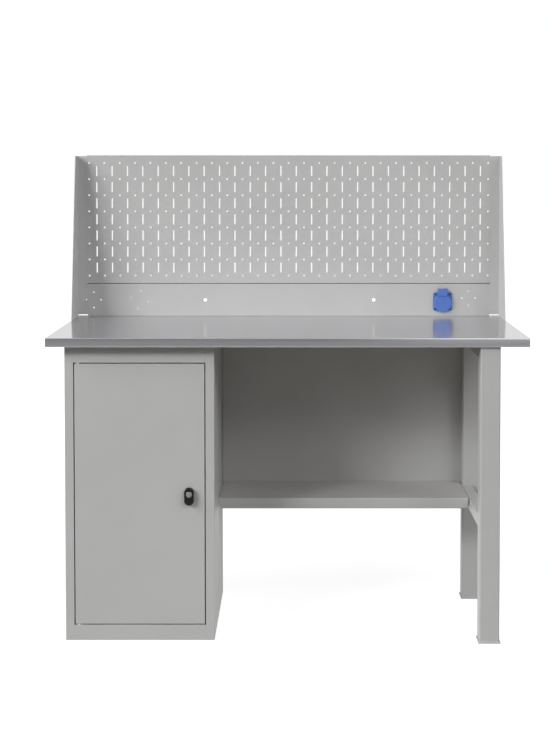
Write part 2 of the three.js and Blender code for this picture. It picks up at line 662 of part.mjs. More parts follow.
// One cheek with its rear flange and return, and a foot tab bolted to the worktop
function cheekBracket(side) {
  const at = (distance) => side * (cheekX - distance);
  const span = (from, to) => ordered(at(from), at(to));
  const flangeZ = [WORKTOP_HEIGHT + BRACKET_GAP, bracketTop];
  const cheek = prism('x', [
    [panelFaceY - CHEEK_FOOT_DEPTH, WORKTOP_HEIGHT], [panelFaceY + BRACKET_SHEET, WORKTOP_HEIGHT],
    [panelFaceY + BRACKET_SHEET, bracketTop], [panelFaceY - CHEEK_TOP_DEPTH, bracketTop],
  ], span(0, BRACKET_SHEET));
  const flange = slab(span(0, BRACKET_FLANGE), [panelFaceY, panelFaceY + BRACKET_SHEET], flangeZ);
  const returnX = span(BRACKET_FLANGE - BRACKET_SHEET, BRACKET_FLANGE);
  const back = slab(returnX, [panelFaceY, panelFaceY + BRACKET_RETURN], flangeZ);
  const footBack = panelFaceY - BRACKET_FOOT_MARGIN;
  const footY = [footBack - BRACKET_FOOT_LENGTH, footBack];
  const foot = slab(span(0, BRACKET_FOOT_WIDTH), footY, [WORKTOP_HEIGHT, WORKTOP_HEIGHT + BRACKET_SHEET]);
  const throughFlange = [panelFaceY - PAST, panelFaceY + BRACKET_SHEET + PAST];
  const whole = accessoryHoles(throughFlange)
    .reduce((solid, hole) => solid.subtract(hole), cheek.add(flange).add(back).add(foot));
  const throughFoot = [WORKTOP_HEIGHT - PAST, WORKTOP_HEIGHT + BRACKET_SHEET + PAST];
  return panelBoltHoles(boltHoles(whole, throughFoot), side);
}

// The perforated face: holes as [z, x] outlines, centred on the panel
function perforation() {
  const count = (span, margin, pitch) => Math.floor((span - 2 * margin) / pitch) + 1;
  const columns = count(2 * panelHalf, PERF_SIDE_MARGIN, PERF_PITCH_X);
  const rows = count(perforatedZ[1] - perforatedZ[0], PERF_END_MARGIN, PERF_PITCH_Z);
  const firstX = (-(columns - 1) * PERF_PITCH_X) / 2;
  const firstZ = (perforatedZ[0] + perforatedZ[1] - (rows - 1) * PERF_PITCH_Z) / 2;
  const holes = [];
  for (let column = 0; column < columns; column += 1) {
    for (let row = 0; row < rows; row += 1) {
      const x = firstX + column * PERF_PITCH_X;
      const z = firstZ + row * PERF_PITCH_Z;
      holes.push(ring([z, x], PERF_DOT_RADIUS, PERF_DOT_SIDES));
      if (column < columns - 1 && row < rows - 1) {
        const slotX = x + PERF_PITCH_X / 2;
        const slotZ = z + PERF_PITCH_Z / 2;
        holes.push(rectangle(
          [slotZ - PERF_SLOT_HEIGHT / 2, slotZ + PERF_SLOT_HEIGHT / 2],
          [slotX - PERF_SLOT_WIDTH / 2, slotX + PERF_SLOT_WIDTH / 2]));
      }
    }
  }
  return holes;
}

function perforatedPanel() {
  const through = [panelFaceY - PAST, panelFaceY + PANEL_SHEET + PAST];
  const holes = perforation().map((outline) => prism('y', outline, through));
  return panTray(panelX, panelY, perforatedZ, PANEL_SHEET).subtract(wasm.Manifold.union(holes));
}

// Socket place on the lower panel
const socketX = panelX[1] - SOCKET_FROM_RIGHT;
const socketPanelMiddle = (socketPanelZ[0] + socketPanelZ[1]) / 2;
const socketZ = socketPanelMiddle - SOCKET_DROP;
const socketCupRadius = SOCKET_BORE_RADIUS + SOCKET_CUP_WALL;
const socketScrewReach = SOCKET_FLANGE / 2 - SOCKET_SCREW_EDGE;
const socketScrewPlaces = [[-1, -1], [1, -1], [-1, 1], [1, 1]]
  .map((place) => place.map((sign) => sign * socketScrewReach));

// The socket panel, with a lap up behind the seam with the perforated panel
function socketPanel() {
  const through = [panelFaceY - PAST, panelFaceY + PANEL_SHEET + PAST];
  const cuts = [rod('y', [socketZ, socketX], socketCupRadius + SOCKET_PLAY, through)];
  for (const [dx, dz] of socketScrewPlaces) {
    cuts.push(rod('y', [socketZ + dz, socketX + dx], SOCKET_SCREW_RADIUS + BOLT_PLAY, through, HOLE_SIDES));
  }
  for (const x of CABLE_HOLES) {
    cuts.push(rod('y', [socketPanelMiddle, x], CABLE_HOLE_RADIUS, through, SMALL_SIDES));
  }
  cuts.push(...accessoryHoles(through));
  const top = socketPanelZ[1];
  const lapFront = panelY[1] + PANEL_LAP_GAP;
  const lapY = [lapFront, lapFront + PANEL_SHEET];
  const pan = panTray(panelX, panelY, socketPanelZ, PANEL_SHEET)
    .add(slab(panelX, [panelY[0], lapY[1]], [top - PANEL_SHEET, top]))
    .add(slab(panelX, lapY, [top - PANEL_SHEET, top + PANEL_LAP]));
  return cuts.reduce((solid, cut) => solid.subtract(cut), pan);
}

function buildBackboard() {
  const group = addGroup();
  const bothSides = (solid) => panelBoltHoles(panelBoltHoles(solid, -1), 1);
  addPiece(group, 'left_bracket', cheekBracket(-1), 'greyCoat');
  addPiece(group, 'right_bracket', cheekBracket(1), 'greyCoat');
  addPiece(group, 'perforated_panel', bothSides(perforatedPanel()), 'greyCoat');
  addPiece(group, 'socket_panel', bothSides(socketPanel()), 'greyCoat');

  const seat = WORKTOP_HEIGHT + BRACKET_SHEET;
  const headSpan = [seat, seat + BRACKET_BOLT_HEAD];
  for (const [sideName, side] of [['left', -1], ['right', 1]]) {
    const place = [side * bracketBoltX, bracketBoltY];
    const bolt = rod('z', place, BRACKET_BOLT_HEAD_RADIUS, headSpan, SMALL_SIDES)
      .add(rod('z', place, BRACKET_BOLT_RADIUS, [seat - BRACKET_BOLT_BITE, seat + PAST], SMALL_SIDES));
    addPiece(group, `${sideName}_bracket_bolt`, bolt, 'zinc');

    const headSeat = side * (cheekX - BRACKET_FLANGE + BRACKET_SHEET);
    for (const [name, z] of Object.entries(panelBoltZ)) {
      const axis = [panelBoltY, z];
      const headSpanX = ordered(headSeat, headSeat + side * PANEL_BOLT_HEAD);
      const shankSpan = ordered(headSeat + side * PAST, side * (panelHalf - PANEL_BOLT_TAIL));
      const head = rod('x', axis, PANEL_BOLT_HEAD_RADIUS, headSpanX, HEX_SIDES);
      const shank = rod('x', axis, PANEL_BOLT_RADIUS, shankSpan, SMALL_SIDES);
      addPiece(group, `panel_bolt_${sideName}_${name}`, head.add(shank), 'zinc');
    }
  }
  buildSocket(addGroup(group, [socketX, panelFaceY, socketZ]));
}

// The socket, about its own middle; the panel's front face is at y = 0
function buildSocket(group) {
  const flangeFront = -SOCKET_FLANGE_THICKNESS;
  const lidBack = flangeFront - LID_GAP;
  const lidFront = lidBack - LID_THICKNESS;
  const hingeRise = SOCKET_FLANGE / 2 + LID_HINGE_ABOVE;
  const hingeAxis = [lidBack, hingeRise];
  const lugHalf = LUG_WIDTH / 2;
  const tabHalf = LID_TAB_WIDTH / 2;
  const boreSpan = [-tabHalf - PAST, tabHalf + PAST];
  const pinBore = rod('x', hingeAxis, LID_PIN_RADIUS + LID_PIN_PLAY, boreSpan, SMALL_SIDES);

  let housing = prism('y', roundedSquare(SOCKET_FLANGE, SOCKET_FLANGE_CORNER), [flangeFront, 0])
    .add(rod('y', [0, 0], socketCupRadius, [-PAST, SOCKET_CUP_DEPTH]))
    .add(slab([-lugHalf, lugHalf], [flangeFront, -LID_GAP], [SOCKET_FLANGE / 2 - LUG_ROOT, hingeRise]))
    .add(rod('x', hingeAxis, LUG_KNUCKLE_RADIUS, [-lugHalf, lugHalf], SMALL_SIDES))
    .subtract(rod('y', [0, 0], SOCKET_BORE_RADIUS, [flangeFront - PAST, SOCKET_CUP_DEPTH + PAST]))
    .subtract(pinBore);
  const headBack = flangeFront + SOCKET_SCREW_SINK + SOCKET_SCREW_HEAD;
  for (const [dx, dz] of socketScrewPlaces) {
    const headHole = rod('y', [dz, dx], SOCKET_SCREW_HEAD_RADIUS + BOLT_PLAY,
      [flangeFront - PAST, headBack + BOLT_PLAY], SMALL_SIDES);
    const shankHole = rod('y', [dz, dx], SOCKET_SCREW_RADIUS + BOLT_PLAY, [flangeFront, PAST], HOLE_SIDES);
    housing = housing.subtract(headHole).subtract(shankHole);
  }
  addPiece(group, 'socket_housing', housing, 'bluePlastic');

  const insertBack = SOCKET_RECESS + SOCKET_INSERT_LENGTH;
  let insert = rod('y', [0, 0], SOCKET_BORE_RADIUS - SOCKET_PLAY, [SOCKET_RECESS, insertBack]);
  for (const side of [-1, 1]) {
    const place = [0, (side * SOCKET_CONTACT_SPACING) / 2];
    const contactSpan = [SOCKET_RECESS - PAST, insertBack - SOCKET_CONTACT_FLOOR];
    insert = insert.subtract(rod('y', place, SOCKET_CONTACT_RADIUS, contactSpan, SMALL_SIDES));
  }
  addPiece(group, 'socket_insert', insert, 'bluePlastic');

  const tabZ = [LID_RADIUS - LID_DROP - LID_TAB_OVERLAP, hingeRise + LID_KNUCKLE_RADIUS];
  const lugRoom = slab(
    [-lugHalf - LID_PIN_PLAY, lugHalf + LID_PIN_PLAY],
    [lidBack - LUG_KNUCKLE_RADIUS - LID_PIN_PLAY, 0],
    [hingeRise - LID_KNUCKLE_RADIUS - LID_GAP, tabZ[1] + PAST],
  );
  const lid = rod('y', [-LID_DROP, 0], LID_RADIUS, [lidFront, lidBack], 2 * ROUND_SIDES)
    .add(slab([-tabHalf, tabHalf], [lidFront - LID_TAB_PROUD, lidBack], tabZ))
    .add(rod('x', hingeAxis, LID_KNUCKLE_RADIUS, [-tabHalf, tabHalf], SMALL_SIDES))
    .subtract(lugRoom)
    .subtract(pinBore);
  addPiece(group, 'socket_lid', lid, 'bluePlastic');
  const pinHalf = tabHalf - LID_PIN_PLAY;
  addPiece(group, 'lid_pin', rod('x', hingeAxis, LID_PIN_RADIUS, [-pinHalf, pinHalf], SMALL_SIDES), 'zinc');

  socketScrewPlaces.forEach(([dx, dz], index) => {
    const headFront = flangeFront + SOCKET_SCREW_SINK;
    const screw = rod('y', [dz, dx], SOCKET_SCREW_HEAD_RADIUS, [headFront, headBack], SMALL_SIDES)
      .add(rod('y', [dz, dx], SOCKET_SCREW_RADIUS, [headBack - PAST, SOCKET_SCREW_REACH], HOLE_SIDES));
    addPiece(group, `socket_screw_${index + 1}`, screw, 'darkScrew');
  });
}

buildWorktop();
buildCabinet();
buildDoor();
buildLegFrame();
buildLowerShelf();
buildBackboard();

export default workbench;
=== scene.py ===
"""The looks of a steel workbench with one cabinet door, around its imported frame. Metres, +Z up."""

import json
import math

import bmesh
import bpy
from mathutils import Euler, Matrix, Vector

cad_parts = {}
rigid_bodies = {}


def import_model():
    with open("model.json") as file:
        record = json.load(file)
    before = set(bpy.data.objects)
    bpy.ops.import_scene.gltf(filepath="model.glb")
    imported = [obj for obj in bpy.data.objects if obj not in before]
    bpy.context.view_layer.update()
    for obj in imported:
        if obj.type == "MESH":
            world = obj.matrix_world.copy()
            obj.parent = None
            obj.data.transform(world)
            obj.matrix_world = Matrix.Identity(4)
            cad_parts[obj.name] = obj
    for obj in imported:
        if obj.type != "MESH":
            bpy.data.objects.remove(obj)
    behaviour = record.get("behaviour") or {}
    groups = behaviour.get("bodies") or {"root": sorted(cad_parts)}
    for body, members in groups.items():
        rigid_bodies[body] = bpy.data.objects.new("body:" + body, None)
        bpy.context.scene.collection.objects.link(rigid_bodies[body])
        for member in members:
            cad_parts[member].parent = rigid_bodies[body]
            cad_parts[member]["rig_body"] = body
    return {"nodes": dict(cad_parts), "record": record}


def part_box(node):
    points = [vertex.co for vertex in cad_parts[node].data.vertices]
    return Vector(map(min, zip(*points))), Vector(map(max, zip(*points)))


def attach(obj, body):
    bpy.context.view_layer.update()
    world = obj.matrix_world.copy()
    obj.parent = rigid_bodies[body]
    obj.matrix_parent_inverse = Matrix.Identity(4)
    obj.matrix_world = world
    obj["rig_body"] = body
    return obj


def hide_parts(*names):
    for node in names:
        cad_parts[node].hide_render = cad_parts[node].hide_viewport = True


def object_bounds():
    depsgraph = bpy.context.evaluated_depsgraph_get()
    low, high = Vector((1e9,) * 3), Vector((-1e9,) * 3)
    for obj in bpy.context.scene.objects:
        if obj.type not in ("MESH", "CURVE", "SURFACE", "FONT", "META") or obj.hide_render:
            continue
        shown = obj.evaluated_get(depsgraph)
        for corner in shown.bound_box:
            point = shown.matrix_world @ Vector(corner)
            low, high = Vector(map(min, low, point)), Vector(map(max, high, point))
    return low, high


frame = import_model()
cad_low, cad_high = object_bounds()

MM = 0.001

# Camera: place, downward tilt, lens in millimetres and shift
CAMERA_PLACE = (0.0236, -4.6191, 1.3619)
CAMERA_TILT = math.radians(2.389)
CAMERA_LENS = 73.41
CAMERA_SHIFT = (-0.0261, -0.187)

# Soft lamps: degrees to the left, degrees up, distance, size and power
LAMPS = {
    "key_lamp": (43, 27, 14.0, 2.6, 555),
    "side_lamp": (55, 20, 14.0, 4.0, 480),
    "left_lamp": (70, 35, 14.0, 5.2, 700),
    "fill_lamp": (-34, 34, 14.0, 5.2, 430),
    "right_lamp": (-62, 26, 14.0, 5.2, 262),
}

# Light from all round, stronger towards one side
ROOM_LIGHT = 0.11
ROOM_LEAN = (0.0, 0.11, 0.0)

# What shiny metal meets: a white backdrop, at the front only a dim share of it low down, and a
# bright window at the front right. Each pair holds the two ends of a fade, as a direction's part to
# the right, back or up
BACKDROP_BACK = (-0.6, -0.1)
FRONT_GLOSS = 0.25
FRONT_UP = (-0.12, -0.01)
WINDOW_GLOSS = 1.7
WINDOW_RIGHT = (0.03, 0.11)
WINDOW_UP = (-0.06, 0.25)
WINDOW_BACK = (0.1, -0.3)

# White floor, whose glow grows with the distance from the bench
FLOOR_SIZE = 60
FLOOR_FRONT = 3.5
FLOOR_WHITENESS = 0.35
FLOOR_SHADOW = 0.4
FLOOR_GLOW = (0.88, 1.0)
FLOOR_GLOW_REACH = (1.2, 3.0)

# Where along a cloud's noise its darker and its lighter colour lie
CLOUD_STOPS = (0.3, 0.7)

# Edges of the metalwork, and the worktop's front edge, which leans back in strips, most at its brow
WORKTOP_FOLD = 1.2 * MM
WORKTOP_LEAN = 0.9 * MM
WORKTOP_STRIPS = 6
WORKTOP_BROW = 0.7 * MM
BROW_HEIGHT = 3 * MM
BROW_MIDDLE = 0.7 * BROW_HEIGHT
FOLD_REACH = 1.2 * WORKTOP_FOLD
SHEET_FOLD = 0.6 * MM
SEAM_FOLD = 3.0 * MM
PANEL_FOLD = 0.25 * MM
TUBE_RADIUS = 3.5 * MM
PLATE_RADIUS = 1.0 * MM
RIM_RADIUS = 0.3 * MM
FOLD_STEPS = 3
ROUND = 0.5
SHARP = math.radians(40)
SMOOTH = math.radians(35)
LEVEL = math.radians(0.5)
WIDE_FACE = 4 * MM
FLAT_FACE = 6 * MM
SAME_POINT = 0.002 * MM
SAME_PLANE = 0.001 * MM

# Punched panels, with a lap behind the seam between them
PANEL_SHEET = 1.5 * MM
PANEL_SEAM = 2 * MM
PANEL_CLOSE = 0.45 * MM
LAP_GAP = 0.5 * MM
HOLE_BREAK = 0.2 * MM
HOLE_SIDES = 12
DOT_RADIUS = 2.75 * MM
DOT_COLUMNS = 27
DOT_ROWS = 8
PITCH_X = 50 * MM
PITCH_Z = 52.5 * MM
SLOT_WIDTH = 3.8 * MM
SLOT_HEIGHT = 32.5 * MM
CABLE_HOLE_RADIUS = 6.2 * MM
CABLE_HOLES = (-272.5 * MM, 278 * MM)
ACCESSORY_RADIUS = 2.25 * MM
# Each set of four: place along the bench, rise, spread across, spread upwards, turn
ACCESSORY_SETS = (
    (-637 * MM, 0.0, 24 * MM, 25 * MM, 0.0),
    (-488.5 * MM, 0.0, 29 * MM, 29 * MM, -0.2),
    (588 * MM, 5.5 * MM, 21.5 * MM, 23.5 * MM, 0.0),
)

# Round pieces: sides of a large circle, a knuckle and a small circle, and the usual eased edge
ROUND_SIDES = 32
KNUCKLE_SIDES = 20
SMALL_SIDES = 16
EASE = 0.4 * MM

# Hinges and lock; a rounding lists millimetres in from the outline and behind the front
PIN_RADIUS = 3.5 * MM
PIN_PLAY = 0.25 * MM
LOCK_PLAY = 0.3 * MM
KNOB_EASE = 0.8 * MM
KNOB_ROUNDING = [(0.0, 3.6), (0.25, 2.2), (0.9, 1.0), (1.8, 0.3), (2.9, 0.0)]
SPINDLE_RADIUS = 6.6 * MM
SPINDLE_PLAY = 0.4 * MM
SPINDLE_SQUARE = 7 * MM
CYLINDER_ROUNDING = [(0.0, 0.7), (0.7, 0.0)]
# The groove round the key slot, as millimetres from the middle and behind the front
CYLINDER_GROOVE = [(6.9, 0.0), (6.6, 0.5), (6.1, 0.5), (5.8, 0.0)]
KEY_SLOT_WIDTH = 1.6 * MM
KEY_SLOT_HEIGHT = 8.5 * MM
KEY_SLOT_DEPTH = 4 * MM
BUSH_RADIUS = 10.6 * MM
THREAD_START = 2 * MM
THREAD_MARGIN = 3 * MM
THREAD_PITCH = 1.5 * MM
THREAD_DEPTH = 0.6 * MM

# Socket
FLANGE_SIZE = 61 * MM
FLANGE_CORNER = 7 * MM
FLANGE_THICKNESS = 5 * MM
FLANGE_ROUNDING = [(0.0, 1.4), (0.4, 0.4), (1.4, 0.0)]
BORE_RADIUS = 22 * MM
BORE_EASE = 0.6 * MM
CUP_RADIUS = 25 * MM
INSERT_ROUNDING = [(0.0, 0.5), (0.5, 0.0), (2.0, 0.0), (2.6, 1.2)]
CONTACT_SPACING = 19 * MM
CONTACT_RADIUS = 2.75 * MM
CONTACT_EASE = 0.5 * MM
CONTACT_FLOOR = 4 * MM
SCREW_REACH = 24 * MM
SCREW_PLACES = [(x * SCREW_REACH, z * SCREW_REACH) for x in (-1, 1) for z in (-1, 1)]
SCREW_TURNS = (0.3, 1.1, 0.7, 0.1)
SCREW_RADIUS = 2.75 * MM
SCREW_HEAD = 2.3 * MM
SCREW_ROUNDING = [(0.0, 0.6), (0.5, 0.1), (0.9, 0.0)]
SCREW_SINK_RADIUS = 3.05 * MM
SCREW_SINK_DEPTH = 2.7 * MM
CROSS_ARM = 0.4 * MM
CROSS_REACH = 1.6 * MM
CROSS_DEPTH = 1.2 * MM

# Socket lid and its hinge
LID_SIDES = 56
LID_THICKNESS = 5 * MM
LID_EASE = 0.5 * MM
LID_ROUNDING = [(0.0, 2.2), (0.3, 1.2), (1.0, 0.4), (2.2, 0.0)]
LID_TAB_WIDTH = 30 * MM
LID_TAB_OVERLAP = 6 * MM
LID_TAB_RADIUS = 1.2 * MM
LID_BLOCK_INSET = 0.3 * MM
LID_BLOCK_OVERLAP = 1.5 * MM
LID_BLOCK_STEP = 1 * MM
LID_BLOCK_RADIUS = 0.3 * MM
LID_KNUCKLE_RADIUS = 4.4 * MM
# How far each knuckle's inner and outer end is eased, inwards and along the pin
LID_KNUCKLE_EASES = ((0.2 * MM, 0.3 * MM), (0.3 * MM, 0.4 * MM))
LID_PIN_RADIUS = 1.8 * MM
LID_PIN_PLAY = 0.3 * MM
LID_PIN_EASE = 0.3 * MM
LUG_WIDTH = 10 * MM
LUG_OVERLAP = 2 * MM
LUG_SETBACK = 0.5 * MM
LUG_RADIUS = 0.5 * MM
LUG_KNUCKLE_RADIUS = 4 * MM

# Bolts and feet; the shares are of the head's radius or height and of the foot's radius or height
BRACKET_BOLT_RADIUS = 5.3 * MM
BRACKET_BOLT_HEAD = 5 * MM
BRACKET_BOLT_LOW_HEAD = 2.2 * MM
BRACKET_BOLT_WASHER = 0.8 * MM
BRACKET_BOLT_SHANK = 3.0 * MM
BRACKET_BOLT_TURN = 0.3
PANEL_BOLT_HEAD = 4 * MM
PANEL_BOLT_WASHER = 1.0 * MM
PANEL_BOLT_SHANK_SHARE = 0.55
SHANK_LENGTH = 6 * MM
WASHER_SIDES = 24
HEX_SHARE = 0.9
HEX_TOP_SHARE = 0.82
HEX_EASE_SHARE = 0.12
FOOT_GROOVE_SHARES = (0.55, 0.6, 0.7, 0.75)
FOOT_EASE_SHARE = 0.25

slot_of = {row["node"]: row["material_slot"] for row in frame["record"]["subparts"]}
finishes = {}


def body_of(node):
    return frame["nodes"][node]["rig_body"]


def middle(node):
    low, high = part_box(node)
    return (low + high) / 2


def half_width(node):
    low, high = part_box(node)
    return (high.x - low.x) / 2


def joint_place(name):
    joints = frame["record"]["behaviour"]["joints"]
    return next(Vector(joint["pos_m"]) for joint in joints if joint["name"] == name)


def put(name, data):
    """A new object in the scene."""
    thing = bpy.data.objects.new(name, data)
    bpy.context.scene.collection.objects.link(thing)
    return thing


LOCK = joint_place("handle_turn")
LOCK_AXIS = Vector((LOCK.x, 0, LOCK.z))
LID_HINGE = joint_place("lid_hinge")


# Node helpers, for materials and for geometry alike

def feed(tree, node, inputs):
    """Sets a node's inputs, each to a value or to another node's output."""
    for key, value in inputs.items():
        if isinstance(value, bpy.types.NodeSocket):
            tree.links.new(value, node.inputs[key])
        else:
            node.inputs[key].default_value = value


def add(tree, kind, inputs=None, **settings):
    node = tree.nodes.new(kind)
    for name, value in settings.items():
        setattr(node, name, value)
    feed(tree, node, inputs or {})
    return node


def maths(tree, operation, *values):
    return add(tree, "ShaderNodeMath", dict(enumerate(values)), operation=operation).outputs[0]


def vector_maths(tree, operation, *values):
    return add(tree, "ShaderNodeVectorMath", dict(enumerate(values)), operation=operation).outputs


def spread(tree, value, reach, span=(0.0, 1.0)):
    """A value that runs along span, made to run along reach and held at its ends."""
    return add(tree, "ShaderNodeMapRange", {
        "Value": value, "From Min": span[0], "From Max": span[1],
        "To Min": reach[0], "To Max": reach[1],
    }).outputs[0]


def grey(level):
    return (level, level, level, 1.0)


def srgb(red, green, blue):
    """A colour given as it shows on a screen, from 0 to 255, as linear light."""
    def linear(value):
        share = value / 255
        return share / 12.92 if share <= 0.04045 else ((share + 0.055) / 1.055) ** 2.4
    return (linear(red), linear(green), linear(blue), 1.0)


def object_place(tree, stretch=(1, 1, 1), centre=(0, 0, 0)):
    """Object coordinates, moved so that centre is the origin, then stretched."""
    place = add(tree, "ShaderNodeTexCoord").outputs["Object"]
    moved = vector_maths(tree, "SUBTRACT", place, centre)["Vector"]
    return add(tree, "ShaderNodeMapping", {"Vector": moved, "Scale": stretch}).outputs[0]


def noise(tree, place, scale, detail):
    node = add(tree, "ShaderNodeTexNoise", {"Vector": place, "Scale": scale, "Detail": detail})
    return node.outputs["Fac"]


def ramp(tree, factor, *stops):
    """Colours as they show on a screen, each at its position along a factor."""
    node = add(tree, "ShaderNodeValToRGB", {"Fac": factor})
    elements = node.color_ramp.elements
    while len(elements) < len(stops):
        elements.new(0.5)
    for element, (position, colour) in zip(elements, stops):
        element.position = position
        element.color = srgb(*colour)
    return node.outputs["Color"]


def relief(tree, height, depth, strength):
    node = add(tree, "ShaderNodeBump", {"Height": height, "Distance": depth, "Strength": strength})
    return node.outputs[0]


# Finishes

def new_finish(slot):
    material = bpy.data.materials.new(slot)
    material.use_nodes = True
    finishes[slot] = material
    tree = material.node_tree
    return tree, tree.nodes["Principled BSDF"]


def dress(tree, shader, **inputs):
    """Sets the shader's inputs; an underscore in a name stands for a space."""
    feed(tree, shader, {name.replace("_", " "): value for name, value in inputs.items()})


def make_mottled(slot, colours, cloud, grain, roughness, depth, strength, **inputs):
    """Clouds of two colours and a fine grain; cloud and grain are a noise's scale and detail."""
    tree, shader = new_finish(slot)
    place = object_place(tree)
    fine = noise(tree, place, *grain)
    dress(
        tree, shader, **inputs,
        Base_Color=ramp(tree, noise(tree, place, *cloud), *zip(CLOUD_STOPS, colours)),
        Roughness=spread(tree, fine, roughness),
        Normal=relief(tree, fine, depth, strength),
    )


def make_brushed_worktop():
    tree, shader = new_finish("brushed_worktop")
    streak = noise(tree, object_place(tree, stretch=(1.6, 420, 420)), scale=1.0, detail=4.0)
    hair = noise(tree, object_place(tree, stretch=(9, 2400, 2400)), scale=1.0, detail=2.0)
    along = add(tree, "ShaderNodeTangent", direction_type="UV_MAP", uv_map="brushing").outputs[0]
    dress(
        tree, shader, Metallic=0.6, Anisotropic=0.9, Specular_Tint=grey(0.92),
        Base_Color=ramp(tree, streak, (0.25, (199, 199, 203)), (0.75, (211, 211, 215))),
        Roughness=spread(tree, streak, (0.09, 0.13)),
        Normal=relief(tree, hair, depth=0.02 * MM, strength=0.3),
        Tangent=along,
    )


def make_board():
    tree, shader = new_finish("board")
    place = object_place(tree, stretch=(260, 260, 620))
    chips = add(tree, "ShaderNodeTexVoronoi", {
        "Vector": place, "Scale": 1.0, "Randomness": 1.0,
    }).outputs
    dust = noise(tree, object_place(tree), scale=1400.0, detail=2.0)
    tones = [(0.2, (150, 132, 106)), (0.5, (178, 162, 136)), (0.8, (202, 188, 164))]
    dress(
        tree, shader,
        Base_Color=ramp(tree, chips["Color"], *tones),
        Roughness=spread(tree, dust, (0.75, 0.95)),
        Normal=relief(tree, chips["Distance"], depth=0.3 * MM, strength=0.5),
    )


def make_lock_silver():
    """Satin metal turned in fine rings about the key."""
    tree, shader = new_finish("lock_silver")
    place = object_place(tree, stretch=(1, 0, 1), centre=tuple(joint_place("key_turn")))
    turning = add(tree, "ShaderNodeTexWave", {"Vector": place, "Scale": 900.0, "Distortion": 0.6},
                  wave_type="RINGS", rings_direction="SPHERICAL").outputs["Fac"]
    scuff = noise(tree, object_place(tree), scale=700.0, detail=3.0)
    dress(
        tree, shader, Metallic=1.0,
        Base_Color=ramp(tree, scuff, *zip(CLOUD_STOPS, ((136, 136, 138), (154, 154, 154)))),
        Roughness=spread(tree, turning, (0.30, 0.42)),
        Normal=relief(tree, turning, depth=0.03 * MM, strength=0.3),
    )


make_mottled(
    "grey_powder_coat", colours=((189, 189, 188), (194, 194, 193)), cloud=(5.0, 3.0),
    grain=(620.0, 1.5), roughness=(0.38, 0.52), depth=0.10 * MM, strength=0.6)
make_brushed_worktop()
make_board()
make_mottled(
    "zinc_steel", colours=((222, 225, 228), (238, 237, 231)), cloud=(120.0, 3.0),
    grain=(900.0, 3.0), roughness=(0.28, 0.46), depth=0.03 * MM, strength=0.4, Metallic=0.75)
make_lock_silver()
make_mottled(
    "black_plastic", colours=((11, 11, 12), (17, 17, 18)), cloud=(60.0, 2.0),
    grain=(1800.0, 2.0), roughness=(0.36, 0.5), depth=0.04 * MM, strength=0.5,
    Specular_IOR_Level=0.2)
make_mottled(
    "blue_plastic", colours=((79, 115, 190), (87, 122, 197)), cloud=(60.0, 2.0),
    grain=(1800.0, 2.0), roughness=(0.3, 0.42), depth=0.04 * MM, strength=0.5,
    Specular_IOR_Level=0.5)
make_mottled(
    "dark_screw", colours=((22, 26, 48), (44, 50, 80)), cloud=(1100.0, 3.0),
    grain=(1100.0, 3.0), roughness=(0.35, 0.5), depth=0.03 * MM, strength=0.4, Metallic=0.8)


# Making pieces

def finish_piece(mesh, name, *nodes):
    """Gives a mesh its finish, and lets it ride on the body of the nodes that it stands for."""
    slot = slot_of[nodes[0]]
    mesh.materials.clear()
    mesh.materials.append(finishes[slot])
    piece = put(name, mesh)
    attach(piece, body_of(nodes[0]))
    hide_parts(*nodes)


def face_width(face):
    """The width of a strip with the face's area and outline."""
    return 2 * face.calc_area() / face.calc_perimeter()


def close_mesh(bm, name):
    """A mesh with doubles merged and faces turned outwards, flat but for its narrow round faces."""
    bmesh.ops.remove_doubles(bm, verts=bm.verts, dist=SAME_POINT)
    bmesh.ops.recalc_face_normals(bm, faces=bm.faces)
    narrow = [face_width(face) < FLAT_FACE for face in bm.faces]
    mesh = bpy.data.meshes.new(name)
    bm.to_mesh(mesh)
    bm.free()
    mesh.set_sharp_from_angle(angle=SMOOTH)
    mesh.polygons.foreach_set("use_smooth", narrow)
    return mesh


def finish_shape(bm, name, *nodes):
    finish_piece(close_mesh(bm, name), name, *nodes)


# Metalwork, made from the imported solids

METALWORK = [
    ("sheet", WORKTOP_FOLD, ["worktop_cover"]),
    ("sheet", SHEET_FOLD, [
        "cabinet_left_side", "cabinet_right_side", "cabinet_back", "cabinet_top", "cabinet_header",
        "cabinet_plinth", "cabinet_floor", "cabinet_shelf", "door_panel", "door_stiffener",
    ]),
    ("sheet", SEAM_FOLD, ["lower_shelf", "back_panel"]),
    ("sheet", PANEL_FOLD, ["left_bracket", "right_bracket"]),
    ("tube", TUBE_RADIUS, ["front_leg", "rear_leg", "upper_side_rail", "lower_side_rail"]),
    ("plate", PLATE_RADIUS, [
        "front_foot_plate", "rear_foot_plate", "left_shelf_bracket", "right_shelf_bracket",
        "lock_cam", "lock_nut", "shelf_clip_left_front", "shelf_clip_left_rear",
        "shelf_clip_right_front", "shelf_clip_right_rear",
    ]),
]


def softened(node, fold_radius):
    """A copy of a node with the folds between its wide faces rounded and its other edges eased."""
    bm = bmesh.new()
    bm.from_mesh(frame["nodes"][node].data)
    bmesh.ops.remove_doubles(bm, verts=bm.verts, dist=SAME_POINT)
    bmesh.ops.dissolve_limit(bm, angle_limit=LEVEL, verts=bm.verts, edges=bm.edges)
    for radius, steps, folds in ((fold_radius, FOLD_STEPS, True), (RIM_RADIUS, 1, False)):
        edges = []
        for edge in bm.edges:
            if len(edge.link_faces) == 2 and edge.is_convex and edge.calc_face_angle() > SHARP:
                wide = min(face_width(face) for face in edge.link_faces) > WIDE_FACE
                if wide or not folds:
                    edges.append(edge)
        bmesh.ops.bevel(
            bm, geom=edges, offset=radius, offset_type="OFFSET", segments=steps, profile=ROUND,
            affect="EDGES", clamp_overlap=True)
    return bm


